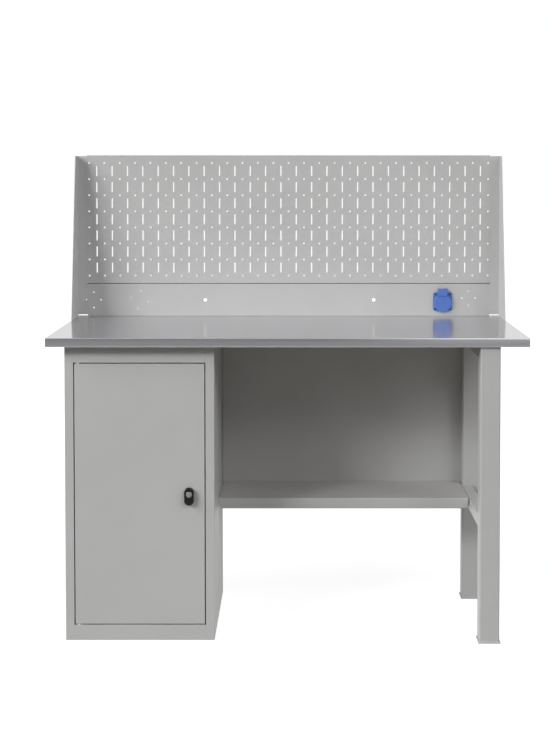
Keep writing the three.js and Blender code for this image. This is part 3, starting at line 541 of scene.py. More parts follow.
def lean_front_edge(bm):
    """Lets the worktop's front edge lean back more and more towards its top, most at its brow."""
    low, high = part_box("worktop_cover")
    tall = high.z - low.z
    heights = [low.z + tall * step / WORKTOP_STRIPS for step in range(1, WORKTOP_STRIPS)]
    heights += [high.z - BROW_HEIGHT, high.z - BROW_MIDDLE, high.z - FOLD_REACH, low.z + FOLD_REACH]
    for height in heights:
        everything = bm.verts[:] + bm.edges[:] + bm.faces[:]
        bmesh.ops.bisect_plane(
            bm, geom=everything, dist=SAME_PLANE, plane_co=(0, 0, height), plane_no=(0, 0, 1))
    for point in bm.verts:
        behind, below = point.co.y - low.y, high.z - point.co.z
        if behind < WORKTOP_FOLD or max(behind, below) < FOLD_REACH:
            rise = (point.co.z - low.z) / tall
            brow = max(0.0, 1 - below / BROW_HEIGHT)
            point.co.y += WORKTOP_LEAN * rise ** 2 + WORKTOP_BROW * brow ** 2


def unroll_brushing(mesh):
    """A UV map whose first direction runs across the brushing, over the top and down the front."""
    layer = mesh.uv_layers.new(name="brushing")
    for loop in mesh.loops:
        x, y, z = mesh.vertices[loop.vertex_index].co
        layer.data[loop.index].uv = (y - z, x)


for kind, radius, nodes in METALWORK:
    for node in nodes:
        bm = softened(node, radius)
        if node == "worktop_cover":
            lean_front_edge(bm)
        mesh = close_mesh(bm, f"{node}_{kind}")
        if node == "worktop_cover":
            unroll_brushing(mesh)
        finish_piece(mesh, f"{node}_{kind}", node)


# Outlines, given as (x, z) seen from the front

def circle(radius, sides=ROUND_SIDES, centre=(0, 0)):
    x, z = centre
    turns = [2 * math.pi * i / sides for i in range(sides)]
    return [(x + radius * math.sin(turn), z + radius * math.cos(turn)) for turn in turns]


def rectangle(width, height):
    x, z = width / 2, height / 2
    return [(-x, -z), (x, -z), (x, z), (-x, z)]


def rounded_square(size, corner, steps=5):
    outline = []
    for quarter in range(4):
        turn = quarter * math.pi / 2
        x = math.copysign(size / 2 - corner, math.sin(turn + math.pi / 4))
        z = math.copysign(size / 2 - corner, math.cos(turn + math.pi / 4))
        for step in range(steps + 1):
            angle = turn + step / steps * math.pi / 2
            outline.append((x + corner * math.sin(angle), z + corner * math.cos(angle)))
    return outline


def upright_oval(radius, rise, drop, steps=14):
    """A round top about the rise above the origin and a round bottom about the drop below it."""
    outline = []
    for half, shift in ((0, rise), (1, -drop)):
        for step in range(steps + 1):
            angle = -math.pi / 2 + math.pi * (half + step / steps)
            outline.append((radius * math.sin(angle), shift + radius * math.cos(angle)))
    return outline


# Round and moulded shapes

def bridge(bm, loops, closed=False):
    """Joins each loop of points to the next with a band of faces; a loop of one point is a tip."""
    pairs = list(zip(loops, loops[1:]))
    if closed:
        pairs.append((loops[-1], loops[0]))
    for first, second in pairs:
        count = max(len(first), len(second))
        for i in range(count):
            j = (i + 1) % count
            corners = (first[i % len(first)], first[j % len(first)],
                       second[j % len(second)], second[i % len(second)])
            bm.faces.new(dict.fromkeys(corners))


def stacked(bm, sections, place):
    """Loops of points from (outline, depth behind a place), each joined to the next."""
    loops = [
        [bm.verts.new(place + Vector((x, depth, z))) for x, z in outline]
        for outline, depth in sections
    ]
    bridge(bm, loops)
    return loops


def stacked_circles(bm, sections, place, sides=ROUND_SIDES, centre=(0, 0)):
    """The same from (radius, depth)."""
    outlines = [(circle(radius, sides, centre), depth) for radius, depth in sections]
    return stacked(bm, outlines, place)


def rounded_front(radius, front, rounding):
    """(radius, depth) sections from a rounding in millimetres."""
    return [(radius - inset * MM, front + depth * MM) for inset, depth in rounding]


def holed_face(bm, *loops):
    """A flat face inside the first loop and outside the others."""
    edges = []
    for loop in loops:
        for i, point in enumerate(loop):
            other = loop[(i + 1) % len(loop)]
            edges.append(bm.edges.get((point, other)) or bm.edges.new((point, other)))
    bmesh.ops.triangle_fill(bm, use_beauty=True, edges=edges)


def turned(bm, profile, place, axis, closed=False, sides=ROUND_SIDES):
    """Turns (radius, distance along the axis) points about an axis through a place."""
    turn = Vector(axis).to_track_quat("Z", "Y").to_matrix()
    loops = []
    for radius, along in profile:
        points = circle(radius, sides) if radius > 0 else [(0, 0)]
        loops.append([bm.verts.new(place + turn @ Vector((x, y, along))) for x, y in points])
    bridge(bm, loops, closed)


def eased_rod(bore, radius, start, end, ease):
    """The profile of a rod with eased ends; a bore of 0 makes it solid."""
    return [(bore, start), (radius - ease, start), (radius, start + ease),
            (radius, end - ease), (radius - ease, end), (bore, end)]


def rounded_box(bm, low, high, radius, steps=2):
    place = Matrix.Translation((low + high) / 2) @ Matrix.Diagonal((*(high - low), 1))
    made = bmesh.ops.create_cube(bm, size=1, matrix=place)["verts"]
    edges = list(dict.fromkeys(edge for point in made for edge in point.link_edges))
    bmesh.ops.bevel(bm, geom=edges, offset=radius, segments=steps, profile=ROUND, affect="EDGES")


# Node trees that make meshes

def growing_tree(name, result, inputs):
    """A tree for a modifier, with inputs given as names for each kind, and their sockets."""
    tree = bpy.data.node_groups.new(name, "GeometryNodeTree")
    tree.is_modifier = True
    for kind, labels in inputs.items():
        for label in labels:
            tree.interface.new_socket(name=label, in_out="INPUT", socket_type=f"NodeSocket{kind}")
    tree.interface.new_socket(name=result, in_out="OUTPUT", socket_type="NodeSocketGeometry")
    return tree, add(tree, "NodeGroupInput").outputs


def end_tree(tree, geometry, finish):
    """Makes the geometry real, gives it its finish and hands it out."""
    real = add(tree, "GeometryNodeRealizeInstances", {"Geometry": geometry}).outputs["Geometry"]
    finished = add(tree, "GeometryNodeSetMaterial", {"Geometry": real, "Material": finish})
    add(tree, "NodeGroupOutput", {0: finished.outputs[0]})


def grown(tree, name, points, attribute, **inputs):
    """The mesh that a tree makes from points with an attribute; its inputs are set by name."""
    base = bpy.data.meshes.new(name)
    base.from_pydata(points, [], [])
    label, kind, key, values = attribute
    base.attributes.new(label, kind, "POINT").data.foreach_set(key, values)
    holder = put(name, base)
    modifier = holder.modifiers.new(name, "NODES")
    modifier.node_group = tree
    sockets = {item.name.replace(" ", "_"): item.identifier for item in tree.interface.items_tree}
    for label, value in inputs.items():
        modifier[sockets[label]] = value
    depsgraph = bpy.context.evaluated_depsgraph_get()
    mesh = bpy.data.meshes.new_from_object(holder.evaluated_get(depsgraph), depsgraph=depsgraph)
    bpy.data.objects.remove(holder)
    return mesh


# Punched panels

def punched_face_tree():
    """A flat sheet in X and Y, its front at Z = 0, with round holes, slots and eased hole edges."""
    tree, given = growing_tree("punched_face", "Face", {
        "Geometry": ["Loose Holes"],
        "Float": ["Width", "Height", "Back Width", "Back Height", "Sheet", "Hole Break",
                  "Dot Radius", "Pitch X", "Pitch Z", "Slot Width", "Slot Height"],
        "Int": ["Dot Columns", "Dot Rows", "Hole Sides"],
        "Material": ["Finish"],
    })

    def vector(x=0.0, y=0.0, z=0.0):
        return add(tree, "ShaderNodeCombineXYZ", {0: x, 1: y, 2: z}).outputs[0]

    def one_less(count):
        return maths(tree, "SUBTRACT", count, 1.0)

    def grid(columns, rows):
        return add(tree, "GeometryNodeMeshGrid", {
            "Size X": maths(tree, "MULTIPLY", one_less(columns), given["Pitch X"]),
            "Size Y": maths(tree, "MULTIPLY", one_less(rows), given["Pitch Z"]),
            "Vertices X": columns, "Vertices Y": rows,
        }).outputs["Mesh"]

    def oblong(width, height):
        return add(tree, "GeometryNodeCurvePrimitiveQuadrilateral", {
            "Width": width, "Height": height,
        }).outputs["Curve"]

    def kept(name, kind):
        node = add(tree, "GeometryNodeInputNamedAttribute", {"Name": name}, data_type=kind)
        return node.outputs["Attribute"]

    def stamped(points, outline, away, scale):
        """One outline at each point, whose points know which way is away from the hole."""
        outline = add(tree, "GeometryNodeStoreNamedAttribute", {
            "Geometry": outline, "Name": "outward", "Value": away,
        }, data_type="FLOAT_VECTOR", domain="POINT").outputs["Geometry"]
        return add(tree, "GeometryNodeInstanceOnPoints", {
            "Points": points, "Instance": outline, "Scale": scale,
        }).outputs["Instances"]

    def shifted(geometry, offset, **selection):
        inputs = {"Geometry": geometry, "Offset": offset, **selection}
        return add(tree, "GeometryNodeSetPosition", inputs).outputs["Geometry"]

    def joined(*geometries):
        node = add(tree, "GeometryNodeJoinGeometry")
        for geometry in geometries:
            tree.links.new(geometry, node.inputs[0])
        return node.outputs[0]

    def filled(width, height, holes):
        outlines = joined(oblong(width, height), holes)
        return add(tree, "GeometryNodeFillCurve", {"Curve": outlines}).outputs["Mesh"]

    def drawn_back(mesh, distance, **selection):
        """Walls drawn from a mesh's edges towards the back."""
        inputs = {"Mesh": mesh, "Offset": vector(z=-1.0), "Offset Scale": distance, **selection}
        return add(tree, "GeometryNodeExtrudeMesh", inputs, mode="EDGES").outputs

    position = add(tree, "GeometryNodeInputPosition").outputs[0]
    unit_circle = add(tree, "GeometryNodeCurvePrimitiveCircle", {
        "Resolution": given["Hole Sides"], "Radius": 1.0,
    }).outputs["Curve"]
    slot = oblong(given["Slot Width"], given["Slot Height"])
    dots = grid(given["Dot Columns"], given["Dot Rows"])
    slots = grid(one_less(given["Dot Columns"]), one_less(given["Dot Rows"]))
    dot_size = vector(given["Dot Radius"], given["Dot Radius"], 1.0)
    loose_radius = kept("hole_radius", "FLOAT")
    loose_size = vector(loose_radius, loose_radius, 1.0)
    slot_corners = vector_maths(tree, "SIGN", position)["Vector"]
    holes = joined(
        stamped(dots, unit_circle, position, dot_size),
        stamped(slots, slot, slot_corners, vector(1.0, 1.0, 1.0)),
        stamped(given["Loose Holes"], unit_circle, position, loose_size),
    )
    holes = add(tree, "GeometryNodeRealizeInstances", {"Geometry": holes}).outputs["Geometry"]

    widening = vector(given["Hole Break"], given["Hole Break"], 0.0)
    widening = vector_maths(tree, "MULTIPLY", kept("outward", "FLOAT_VECTOR"), widening)["Vector"]
    narrowing = vector_maths(tree, "MULTIPLY", widening, (-1.0, -1.0, -1.0))["Vector"]
    front_holes = shifted(holes, widening)
    front = filled(given["Width"], given["Height"], front_holes)
    back = filled(given["Back Width"], given["Back Height"], holes)
    back = shifted(back, vector(z=maths(tree, "MULTIPLY", given["Sheet"], -1.0)))

    rim = add(tree, "GeometryNodeCurveToMesh", {"Curve": front_holes}).outputs["Mesh"]
    eased = drawn_back(rim, given["Hole Break"])
    wall = shifted(eased["Mesh"], narrowing, Selection=eased["Top"])
    rest = maths(tree, "SUBTRACT", given["Sheet"], given["Hole Break"])
    wall = drawn_back(wall, rest, Selection=eased["Top"])["Mesh"]
    end_tree(tree, joined(front, back, wall), given["Finish"])
    return tree


def folded_rings(width, height, depth):
    """Sizes and depths of the rings round a pan: over the fold, down its return and up inside."""
    rings = []
    for step in range(FOLD_STEPS + 1):
        angle = step / FOLD_STEPS * math.pi / 2
        rings.append((PANEL_FOLD * (1 - math.sin(angle)), PANEL_FOLD * (1 - math.cos(angle))))
    rings += [(0.0, depth), (PANEL_SHEET, depth), (PANEL_SHEET, PANEL_SHEET)]
    return [(width - 2 * inset, height - 2 * inset, -down) for inset, down in rings]


def add_lap(bm, low, high, top):
    """A strip folded up behind the panel's upper edge."""
    back = high.y + LAP_GAP + PANEL_SHEET
    front = back - PANEL_SHEET
    lip = front - 2 * LAP_GAP
    foot = high.z - PANEL_SHEET
    outline = [(lip, foot), (back, foot), (back, top), (front, top), (front, high.z), (lip, high.z)]
    ends = [[bm.verts.new((x, y, z)) for y, z in outline] for x in (low.x, high.x)]
    bridge(bm, ends)
    for end in ends:
        bm.faces.new(end)


def punched_panel(node, tree, low, high, loose_holes, dot_columns, dot_rows):
    """A panel with folded edges around a punched face, between two corners."""
    width, depth, height = high - low
    mesh = grown(
        tree, node, [(x, z, 0) for x, z, _ in loose_holes],
        ("hole_radius", "FLOAT", "value", [radius for _, _, radius in loose_holes]),
        Width=width - 2 * PANEL_FOLD, Height=height - 2 * PANEL_FOLD,
        Back_Width=width - 2 * PANEL_SHEET, Back_Height=height - 2 * PANEL_SHEET, Sheet=PANEL_SHEET,
        Hole_Break=HOLE_BREAK, Hole_Sides=HOLE_SIDES, Dot_Radius=DOT_RADIUS,
        Dot_Columns=dot_columns, Dot_Rows=dot_rows, Pitch_X=PITCH_X, Pitch_Z=PITCH_Z,
        Slot_Width=SLOT_WIDTH, Slot_Height=SLOT_HEIGHT, Finish=finishes[slot_of[node]])
    bm = bmesh.new()
    bm.from_mesh(mesh)
    bridge(bm, [
        [bm.verts.new((x, y, z)) for x, y in rectangle(wide, tall)]
        for wide, tall, z in folded_rings(width, height, depth)
    ])
    centre = (low + high) / 2
    upright = Matrix.Rotation(math.pi / 2, 4, "X")
    bm.transform(Matrix.Translation((centre.x, low.y, centre.z)) @ upright)
    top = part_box(node)[1].z
    if top > high.z:
        add_lap(bm, low, high, top)
    face = close_mesh(bm, f"{node}_face")
    face.shade_flat()
    finish_piece(face, f"{node}_face", node)


def socket_panel_holes(low, high):
    """The socket's hole, cable holes and the accessory holes on the panel, about its middle."""
    centre = (low + high) / 2
    socket = middle("socket_insert")
    holes = [(socket.x, socket.z, CUP_RADIUS)]
    holes += [(x, centre.z, CABLE_HOLE_RADIUS) for x in CABLE_HOLES]
    for set_x, rise, spread_x, spread_z, turn in ACCESSORY_SETS:
        for quarter in range(4):
            angle = turn + quarter * math.pi / 2
            x = set_x + spread_x * math.cos(angle)
            z = centre.z + rise + spread_z * math.sin(angle)
            if low.x < x < high.x:
                holes.append((x, z, ACCESSORY_RADIUS))
    return [(x - centre.x, z - centre.z, radius) for x, z, radius in holes]


def make_panels():
    """The perforated panel, and under it the socket panel, both close to the brackets."""
    tree = punched_face_tree()
    beside = Vector((PANEL_CLOSE, 0, 0))
    low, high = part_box("perforated_panel")
    low, high = low - beside, high + beside
    punched_panel("perforated_panel", tree, low, high, [], DOT_COLUMNS, DOT_ROWS)
    lower_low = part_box("socket_panel")[0] - beside
    lower_low.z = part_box("worktop_cover")[1].z + PANEL_CLOSE
    lower_high = Vector((high.x, high.y, low.z - PANEL_SEAM))
    holes = socket_panel_holes(lower_low, lower_high)
    punched_panel("socket_panel", tree, lower_low, lower_high, holes, 0, 0)


make_panels()


# Hinges, lock and socket

def hinge_pins():
    """Two pins with a washer-like collar in the gap over and under the door."""
    door_low, door_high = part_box("door_panel")
    collars = {
        "upper_hinge_pin": (door_high.z + PIN_PLAY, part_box("cabinet_header")[0].z),
        "lower_hinge_pin": (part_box("cabinet_plinth")[1].z, door_low.z - PIN_PLAY),
    }
    bm = bmesh.new()
    for node, (bottom, top) in collars.items():
        low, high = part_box(node)
        pin = eased_rod(0, PIN_RADIUS, low.z, high.z, EASE)
        collar = eased_rod(PIN_RADIUS, half_width(node), bottom, top, EASE)
        axis = middle(node)
        axis.z = 0
        turned(bm, pin[:3] + collar + pin[3:], axis, (0, 0, 1))
    finish_shape(bm, "hinge_pins", *collars)


def lock_handle():
    """A black oval knob with a rounded front, a well for the key cylinder and a spindle behind."""
    low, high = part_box("lock_handle")
    radius = half_width("lock_handle")
    rise = high.z - radius - LOCK.z
    drop = LOCK.z - low.z - radius
    front = low.y
    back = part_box("lock_bush")[0].y - LOCK_PLAY
    well_radius = half_width("lock_cylinder") + LOCK_PLAY
    well_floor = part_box("lock_cylinder")[1].y + LOCK_PLAY
    spindle_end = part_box("lock_cam")[0].y - LOCK_PLAY
    bm = bmesh.new()
    sections = [(radius - KNOB_EASE, back), (radius, back - KNOB_EASE)]
    sections += rounded_front(radius, front, KNOB_ROUNDING)
    ovals = [(upright_oval(size, rise, drop), depth) for size, depth in sections]
    body = stacked(bm, ovals, LOCK_AXIS)
    sections = [(well_radius + EASE, front), (well_radius, front + EASE), (well_radius, well_floor)]
    well = stacked_circles(bm, sections, LOCK_AXIS)
    bm.faces.new(well[-1])
    holed_face(bm, body[-1], well[0])
    sections = [(SPINDLE_RADIUS, back), (SPINDLE_RADIUS, spindle_end)]
    spindle = stacked_circles(bm, sections, LOCK_AXIS)
    holed_face(bm, body[0], spindle[0])
    outline = rectangle(SPINDLE_SQUARE, SPINDLE_SQUARE)
    square = stacked(bm, [(outline, spindle_end), (outline, high.y)], LOCK_AXIS)
    holed_face(bm, spindle[1], square[0])
    bm.faces.new(square[1])
    finish_shape(bm, "lock_knob", "lock_handle")


def lock_cylinder():
    """A turned key cylinder with a ring groove and a key slot."""
    low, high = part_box("lock_cylinder")
    radius = half_width("lock_cylinder")
    front = low.y
    bm = bmesh.new()
    sections = [(radius - EASE, high.y), (radius, high.y - EASE)]
    sections += rounded_front(radius, front, CYLINDER_ROUNDING)
    sections += [(size * MM, front + depth * MM) for size, depth in CYLINDER_GROOVE]
    loops = stacked_circles(bm, sections, LOCK_AXIS)
    bm.faces.new(loops[0])
    outline = rectangle(KEY_SLOT_WIDTH, KEY_SLOT_HEIGHT)
    slot = stacked(bm, [(outline, front), (outline, front + KEY_SLOT_DEPTH)], LOCK_AXIS)
    bm.faces.new(slot[1])
    holed_face(bm, loops[-1], slot[0])
    finish_shape(bm, "key_cylinder", "lock_cylinder")


def lock_bush():
    """A flanged bush with a ribbed thread for its nut."""
    low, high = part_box("lock_bush")
    bore = SPINDLE_RADIUS + SPINDLE_PLAY
    flange = half_width("lock_bush")
    door_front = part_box("door_panel")[0].y
    profile = [(bore, low.y), (flange - EASE, low.y), (flange, low.y + EASE), (flange, door_front),
               (BUSH_RADIUS, door_front)]
    ribs = math.floor((high.y - door_front - THREAD_MARGIN) / THREAD_PITCH)
    for rib in range(ribs):
        start = door_front + THREAD_START + rib * THREAD_PITCH
        profile += [(BUSH_RADIUS, start), (BUSH_RADIUS - THREAD_DEPTH, start + THREAD_PITCH / 2)]
    profile += [(BUSH_RADIUS, high.y - EASE), (BUSH_RADIUS - EASE, high.y), (bore, high.y)]
    bm = bmesh.new()
    turned(bm, profile, LOCK_AXIS, (0, 1, 0), closed=True)
    finish_shape(bm, "threaded_bush", "lock_bush")


def socket_place():
    """The middle of the socket, on the front of its panel."""
    place = middle("socket_insert")
    place.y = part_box("socket_panel")[0].y
    return place


def socket_housing():
    """A square flange with rounded corners, a round cup behind it, screw sinks and a hinge lug."""
    place = socket_place()
    front = -FLANGE_THICKNESS
    cup_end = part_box("socket_housing")[1].y - place.y
    bm = bmesh.new()
    sections = [(0.0, 0.0)] + [(inset * MM, front + depth * MM) for inset, depth in FLANGE_ROUNDING]
    flange = stacked(bm, [
        (rounded_square(FLANGE_SIZE - 2 * inset, FLANGE_CORNER - inset), depth)
        for inset, depth in sections
    ], place)
    cup = stacked_circles(bm, [
        (BORE_RADIUS + BORE_EASE, front), (BORE_RADIUS, front + BORE_EASE), (BORE_RADIUS, cup_end),
        (CUP_RADIUS, cup_end), (CUP_RADIUS, 0.0),
    ], place)
    sinks = []
    for centre in SCREW_PLACES:
        sections = [(SCREW_SINK_RADIUS, front), (SCREW_SINK_RADIUS, front + SCREW_SINK_DEPTH)]
        sink = stacked_circles(bm, sections, place, SMALL_SIDES, centre)
        bm.faces.new(sink[1])
        sinks.append(sink[0])
    holed_face(bm, flange[-1], cup[0], *sinks)
    holed_face(bm, flange[0], cup[-1])
    half = LUG_WIDTH / 2
    rounded_box(
        bm, Vector((place.x - half, place.y + front, place.z + FLANGE_SIZE / 2 - LUG_OVERLAP)),
        Vector((place.x + half, place.y - LUG_SETBACK, LID_HINGE.z)), LUG_RADIUS)
    knuckle = eased_rod(LID_PIN_RADIUS, LUG_KNUCKLE_RADIUS, -half, half, EASE)
    turned(bm, knuckle, LID_HINGE, (1, 0, 0), closed=True, sides=KNUCKLE_SIDES)
    finish_shape(bm, "socket_body", "socket_housing")


def socket_insert():
    """The round inner face of the socket, with a raised rim and two contact holes."""
    place = socket_place()
    low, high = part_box("socket_insert")
    radius = half_width("socket_insert")
    front, back = low.y - place.y, high.y - place.y
    bm = bmesh.new()
    sections = [(radius, back)] + rounded_front(radius, front, INSERT_ROUNDING)
    loops = stacked_circles(bm, sections, place)
    bm.faces.new(loops[0])
    face = sections[-1][1]
    holes = []
    for side in (-1, 1):
        hole = stacked_circles(bm, [
            (CONTACT_RADIUS + CONTACT_EASE, face), (CONTACT_RADIUS, face + CONTACT_EASE),
            (CONTACT_RADIUS, back - CONTACT_FLOOR),
        ], place, SMALL_SIDES, (side * CONTACT_SPACING / 2, 0))
        bm.faces.new(hole[-1])
        holes.append(hole[0])
    holed_face(bm, loops[-1], *holes)
    finish_shape(bm, "socket_face", "socket_insert")


def socket_lid():
    """A round lid with a rounded edge, under a hinge tab with two knuckles."""
    low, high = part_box("socket_lid")
    radius = half_width("socket_lid")
    back = LID_HINGE.y
    centre = Vector((LID_HINGE.x, 0, low.z + radius))
    bm = bmesh.new()
    sections = [(radius - LID_EASE, back), (radius, back - LID_EASE)]
    sections += rounded_front(radius, back - LID_THICKNESS, LID_ROUNDING)
    loops = stacked_circles(bm, sections, centre, LID_SIDES)
    bm.faces.new(loops[0])
    bm.faces.new(loops[-1])
    half = LID_TAB_WIDTH / 2
    tab_foot = centre.z + radius - LID_TAB_OVERLAP
    tab_back = back - LUG_KNUCKLE_RADIUS - LID_PIN_PLAY
    rounded_box(
        bm, Vector((LID_HINGE.x - half, low.y, tab_foot)),
        Vector((LID_HINGE.x + half, tab_back, high.z)), LID_TAB_RADIUS, steps=3)
    gap = LUG_WIDTH / 2 + LID_PIN_PLAY
    (near_in, near_along), (far_in, far_along) = LID_KNUCKLE_EASES
    knuckle = [
        (LID_PIN_RADIUS, gap), (LID_KNUCKLE_RADIUS - near_in, gap),
        (LID_KNUCKLE_RADIUS, gap + near_along), (LID_KNUCKLE_RADIUS, half - far_along),
        (LID_KNUCKLE_RADIUS - far_in, half), (LID_PIN_RADIUS, half),
    ]
    for side in (-1, 1):
        left, right = sorted(LID_HINGE.x + side * reach for reach in (gap, half - LID_BLOCK_INSET))
        rounded_box(
            bm, Vector((left, tab_back - LID_BLOCK_OVERLAP, tab_foot + LID_BLOCK_STEP)),
            Vector((right, back, high.z - LID_BLOCK_STEP)), LID_BLOCK_RADIUS)
        turned(bm, knuckle, LID_HINGE, (side, 0, 0), closed=True, sides=KNUCKLE_SIDES)
    finish_shape(bm, "socket_cover", "socket_lid")


def lid_pin():
    low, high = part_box("lid_pin")
    half = half_width("lid_pin")
    profile = eased_rod(0, (high.z - low.z) / 2, -half, half, LID_PIN_EASE)
    bm = bmesh.new()
    turned(bm, profile, LID_HINGE, (1, 0, 0), sides=SMALL_SIDES)
    finish_shape(bm, "hinge_wire", "lid_pin")


hinge_pins()
lock_handle()
lock_cylinder()
lock_bush()
socket_housing()
socket_insert()
socket_lid()
lid_pin()


# Fasteners and feet, set on points by a node tree

def setting_tree():
    """One copy of a shape at each point, turned by the point's own turn."""
    tree, given = growing_tree("set_on_points", "Set", {
        "Geometry": ["Places"], "Object": ["Shape"], "Material": ["Finish"],
    })
    shape = add(tree, "GeometryNodeObjectInfo", {"Object": given["Shape"]}).outputs["Geometry"]
    kept = add(tree, "GeometryNodeInputNamedAttribute", {"Name": "turn"}, data_type="FLOAT_VECTOR")
    turn = add(tree, "FunctionNodeEulerToRotation", {0: kept.outputs["Attribute"]}).outputs[0]
    copies = add(tree, "GeometryNodeInstanceOnPoints", {
        "Points": given["Places"], "Instance": shape, "Rotation": turn,
    }).outputs["Instances"]
    end_tree(tree, copies, given["Finish"])
    return tree


def set_on_points(name, tree, bm, places, nodes):
    """One piece made of a shape at each of the places, given as (point, turn)."""
    shape = bpy.data.objects.new(f"{name}_shape", close_mesh(bm, f"{name}_shape"))
    turns = [angle for _, turn in places for angle in turn]
    mesh = grown(
        tree, name, [point for point, _ in places], ("turn", "FLOAT_VECTOR", "vector", turns),
        Shape=shape, Finish=finishes[slot_of[nodes[0]]])
    mesh.attributes.remove(mesh.attributes["turn"])
    bpy.data.objects.remove(shape)
    finish_piece(mesh, name, *nodes)


def hex_bolt(head_radius, head_height, washer_height, shank_radius):
    """A hexagon head on a round washer, its seat at the origin and its head along +Z."""
    bm = bmesh.new()
    across = HEX_SHARE * head_radius
    ease = HEX_EASE_SHARE * head_height
    shank = eased_rod(0, shank_radius, -SHANK_LENGTH, 0, ease)[:3]
    washer = eased_rod(0, head_radius, 0, washer_height, ease)[1:]
    turned(bm, shank + [(shank_radius, 0)] + washer, Vector(), (0, 0, 1), sides=WASHER_SIDES)
    turned(bm, [
        (0, washer_height), (across, washer_height), (across, head_height - 2 * ease),
        (HEX_TOP_SHARE * across, head_height), (0, head_height),
    ], Vector(), (0, 0, 1), sides=6)
    return bm


def foot():
    """A thin round glide with eased edges and a groove in its sole, standing on the origin."""
    low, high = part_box("cabinet_foot_left_front")
    radius = half_width("cabinet_foot_left_front")
    tall = high.z - low.z
    ease = FOOT_EASE_SHARE * tall
    groove = [(share * radius, rise) for share, rise in zip(FOOT_GROOVE_SHARES, (0, ease, ease, 0))]
    bm = bmesh.new()
    turned(bm, [(0, 0)] + groove + eased_rod(0, radius, 0, tall, ease)[1:], Vector(), (0, 0, 1))
    return bm


def cross_screw():
    """A low domed screw head with a cross recess, its front towards -Y at the origin."""
    bm = bmesh.new()
    arm, reach = CROSS_ARM, CROSS_REACH
    cross = [
        (arm, arm), (reach, arm), (reach, -arm), (arm, -arm), (arm, -reach), (-arm, -reach),
        (-arm, -arm), (-reach, -arm), (-reach, arm), (-arm, arm), (-arm, reach), (arm, reach),
    ]
    sections = [(SCREW_RADIUS, SCREW_HEAD)] + rounded_front(SCREW_RADIUS, 0.0, SCREW_ROUNDING)
    loops = stacked_circles(bm, sections, Vector(), SMALL_SIDES)
    bm.faces.new(loops[0])
    recess = stacked(bm, [(cross, 0.0), (cross, CROSS_DEPTH)], Vector())
    bm.faces.new(recess[1])
    holed_face(bm, loops[-1], recess[0])
    return bm


def set_fasteners():
    tree = setting_tree()
    sides = (("left", -1), ("right", 1))

    bolts = [f"{side}_bracket_bolt" for side, _ in sides]
    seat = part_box("left_bracket_bolt")[1].z - BRACKET_BOLT_HEAD
    places = [((middle(node).x, middle(node).y, seat), (0, 0, BRACKET_BOLT_TURN)) for node in bolts]
    bolt = hex_bolt(
        BRACKET_BOLT_RADIUS, BRACKET_BOLT_LOW_HEAD, BRACKET_BOLT_WASHER, BRACKET_BOLT_SHANK)
    set_on_points("worktop_bolts", tree, bolt, places, bolts)

    places, bolts = [], []
    for side, sign in sides:
        for level in ("lower", "middle", "upper"):
            node = f"panel_bolt_{side}_{level}"
            low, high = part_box(node)
            seat = (high.x - PANEL_BOLT_HEAD) if sign > 0 else (low.x + PANEL_BOLT_HEAD)
            places.append(((seat, middle(node).y, middle(node).z), (0, sign * math.pi / 2, 0)))
            bolts.append(node)
    radius = min((high - low).y, (high - low).z) / 2
    bolt = hex_bolt(radius, PANEL_BOLT_HEAD, PANEL_BOLT_WASHER, PANEL_BOLT_SHANK_SHARE * radius)
    set_on_points("backboard_bolts", tree, bolt, places, bolts)

    feet = [f"cabinet_foot_{side}_{end}" for side, _ in sides for end in ("front", "rear")]
    places = [((middle(node).x, middle(node).y, 0), (0, 0, 0)) for node in feet]
    set_on_points("cabinet_feet", tree, foot(), places, feet)

    screws = [f"socket_screw_{index}" for index in (1, 2, 3, 4)]
    places = [
        ((middle(node).x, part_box(node)[0].y, middle(node).z), (0, turn, 0))
        for node, turn in zip(screws, SCREW_TURNS)
    ]
    set_on_points("socket_screws", tree, cross_screw(), places, screws)


set_fasteners()


# Carried-over nodes keep their CAD shape and take the finish of their slot
for node, part in frame["nodes"].items():
    part.data.materials.clear()
    part.data.materials.append(finishes[slot_of[node]])


# Studio

def seen_directly(tree):
    """1 for the rays that show a surface to the camera, straight or in a reflection."""
    path = add(tree, "ShaderNodeLightPath").outputs
    straight = maths(tree, "MAXIMUM", path["Is Camera Ray"], path["Is Glossy Ray"])
    return maths(tree, "MAXIMUM", straight, path["Is Transmission Ray"])


def make_room():
    """Light from all round, and the white backdrop that the camera and shiny metal see."""
    world = bpy.data.worlds.new("room")
    world.use_nodes = True
    bpy.context.scene.world = world
    tree = world.node_tree
    tree.nodes.clear()
    towards = add(tree, "ShaderNodeTexCoord").outputs["Generated"]
    lean = vector_maths(tree, "DOT_PRODUCT", towards, ROOM_LEAN)["Value"]
    level = maths(tree, "ADD", lean, ROOM_LIGHT)
    lighting = add(tree, "ShaderNodeBackground", {"Color": grey(1.0), "Strength": level})
    right, back, up = add(tree, "ShaderNodeSeparateXYZ", {0: towards}).outputs
    front_share = spread(tree, up, (FRONT_GLOSS, 0.0), FRONT_UP)
    gloss = spread(tree, back, (front_share, 1.0), BACKDROP_BACK)
    window = WINDOW_GLOSS
    for part, fade in ((right, WINDOW_RIGHT), (up, WINDOW_UP), (back, WINDOW_BACK)):
        window = maths(tree, "MULTIPLY", spread(tree, part, (0.0, 1.0), fade), window)
    gloss = maths(tree, "MAXIMUM", gloss, window)
    straight = add(tree, "ShaderNodeLightPath").outputs["Is Camera Ray"]
    level = maths(tree, "MAXIMUM", straight, gloss)
    backdrop = add(tree, "ShaderNodeBackground", {"Color": grey(1.0), "Strength": level})
    mixed = add(tree, "ShaderNodeMixShader", {
        0: seen_directly(tree), 1: lighting.outputs[0], 2: backdrop.outputs[0],
    })
    add(tree, "ShaderNodeOutputWorld", {"Surface": mixed.outputs[0]})


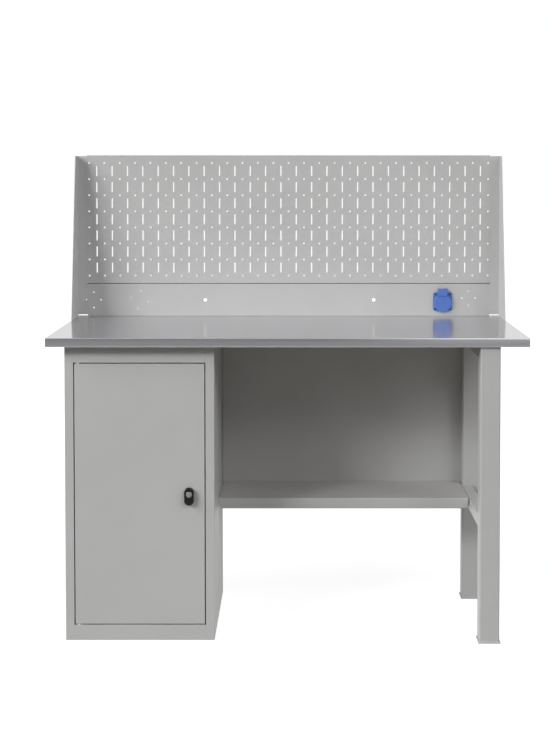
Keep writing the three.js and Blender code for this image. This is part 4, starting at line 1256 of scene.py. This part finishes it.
def make_floor():
    """A wide floor that reflects less light than it shows, and keeps the bench's shadow."""
    bm = bmesh.new()
    bmesh.ops.create_grid(bm, x_segments=1, y_segments=1, size=FLOOR_SIZE / 2)
    bmesh.ops.translate(bm, verts=bm.verts, vec=(0, FLOOR_SIZE / 2 - FLOOR_FRONT, 0))
    mesh = bpy.data.meshes.new("floor")
    bm.to_mesh(mesh)
    bm.free()
    material = bpy.data.materials.new("floor")
    material.use_nodes = True
    tree = material.node_tree
    tree.nodes.clear()
    bounce = add(tree, "ShaderNodeBsdfDiffuse", {"Color": grey(FLOOR_WHITENESS)})
    shadow = add(tree, "ShaderNodeBsdfDiffuse", {"Color": grey(FLOOR_SHADOW)})
    place = add(tree, "ShaderNodeTexCoord").outputs["Object"]
    reach = vector_maths(tree, "LENGTH", place)["Value"]
    level = spread(tree, reach, FLOOR_GLOW, FLOOR_GLOW_REACH)
    glow = add(tree, "ShaderNodeEmission", {"Color": grey(1.0), "Strength": level})
    shown = add(tree, "ShaderNodeAddShader", {0: shadow.outputs[0], 1: glow.outputs[0]})
    mixed = add(tree, "ShaderNodeMixShader", {
        0: seen_directly(tree), 1: bounce.outputs[0], 2: shown.outputs[0],
    })
    add(tree, "ShaderNodeOutputMaterial", {"Surface": mixed.outputs[0]})
    mesh.materials.append(material)
    floor = put("floor", mesh)


def make_lamps():
    aim = (cad_low + cad_high) / 2
    for name, (turn, rise, distance, size, power) in LAMPS.items():
        data = bpy.data.lights.new(name, "AREA")
        data.size = size
        data.energy = power
        lamp = put(name, data)
        away = Euler((math.radians(-rise), 0, math.radians(-turn))).to_matrix() @ Vector((0, -1, 0))
        lamp.location = aim + away * distance
        lamp.rotation_euler = (-away).to_track_quat("-Z", "Y").to_euler()


def place_camera():
    data = bpy.data.cameras.new("camera")
    data.lens = CAMERA_LENS
    data.shift_x, data.shift_y = CAMERA_SHIFT
    camera = put("camera", data)
    camera.location = CAMERA_PLACE
    camera.rotation_euler = (math.pi / 2 - CAMERA_TILT, 0, 0)
    bpy.context.scene.camera = camera


make_room()
make_floor()
make_lamps()
place_camera()
bpy.context.scene.view_settings.view_transform = "Standard"
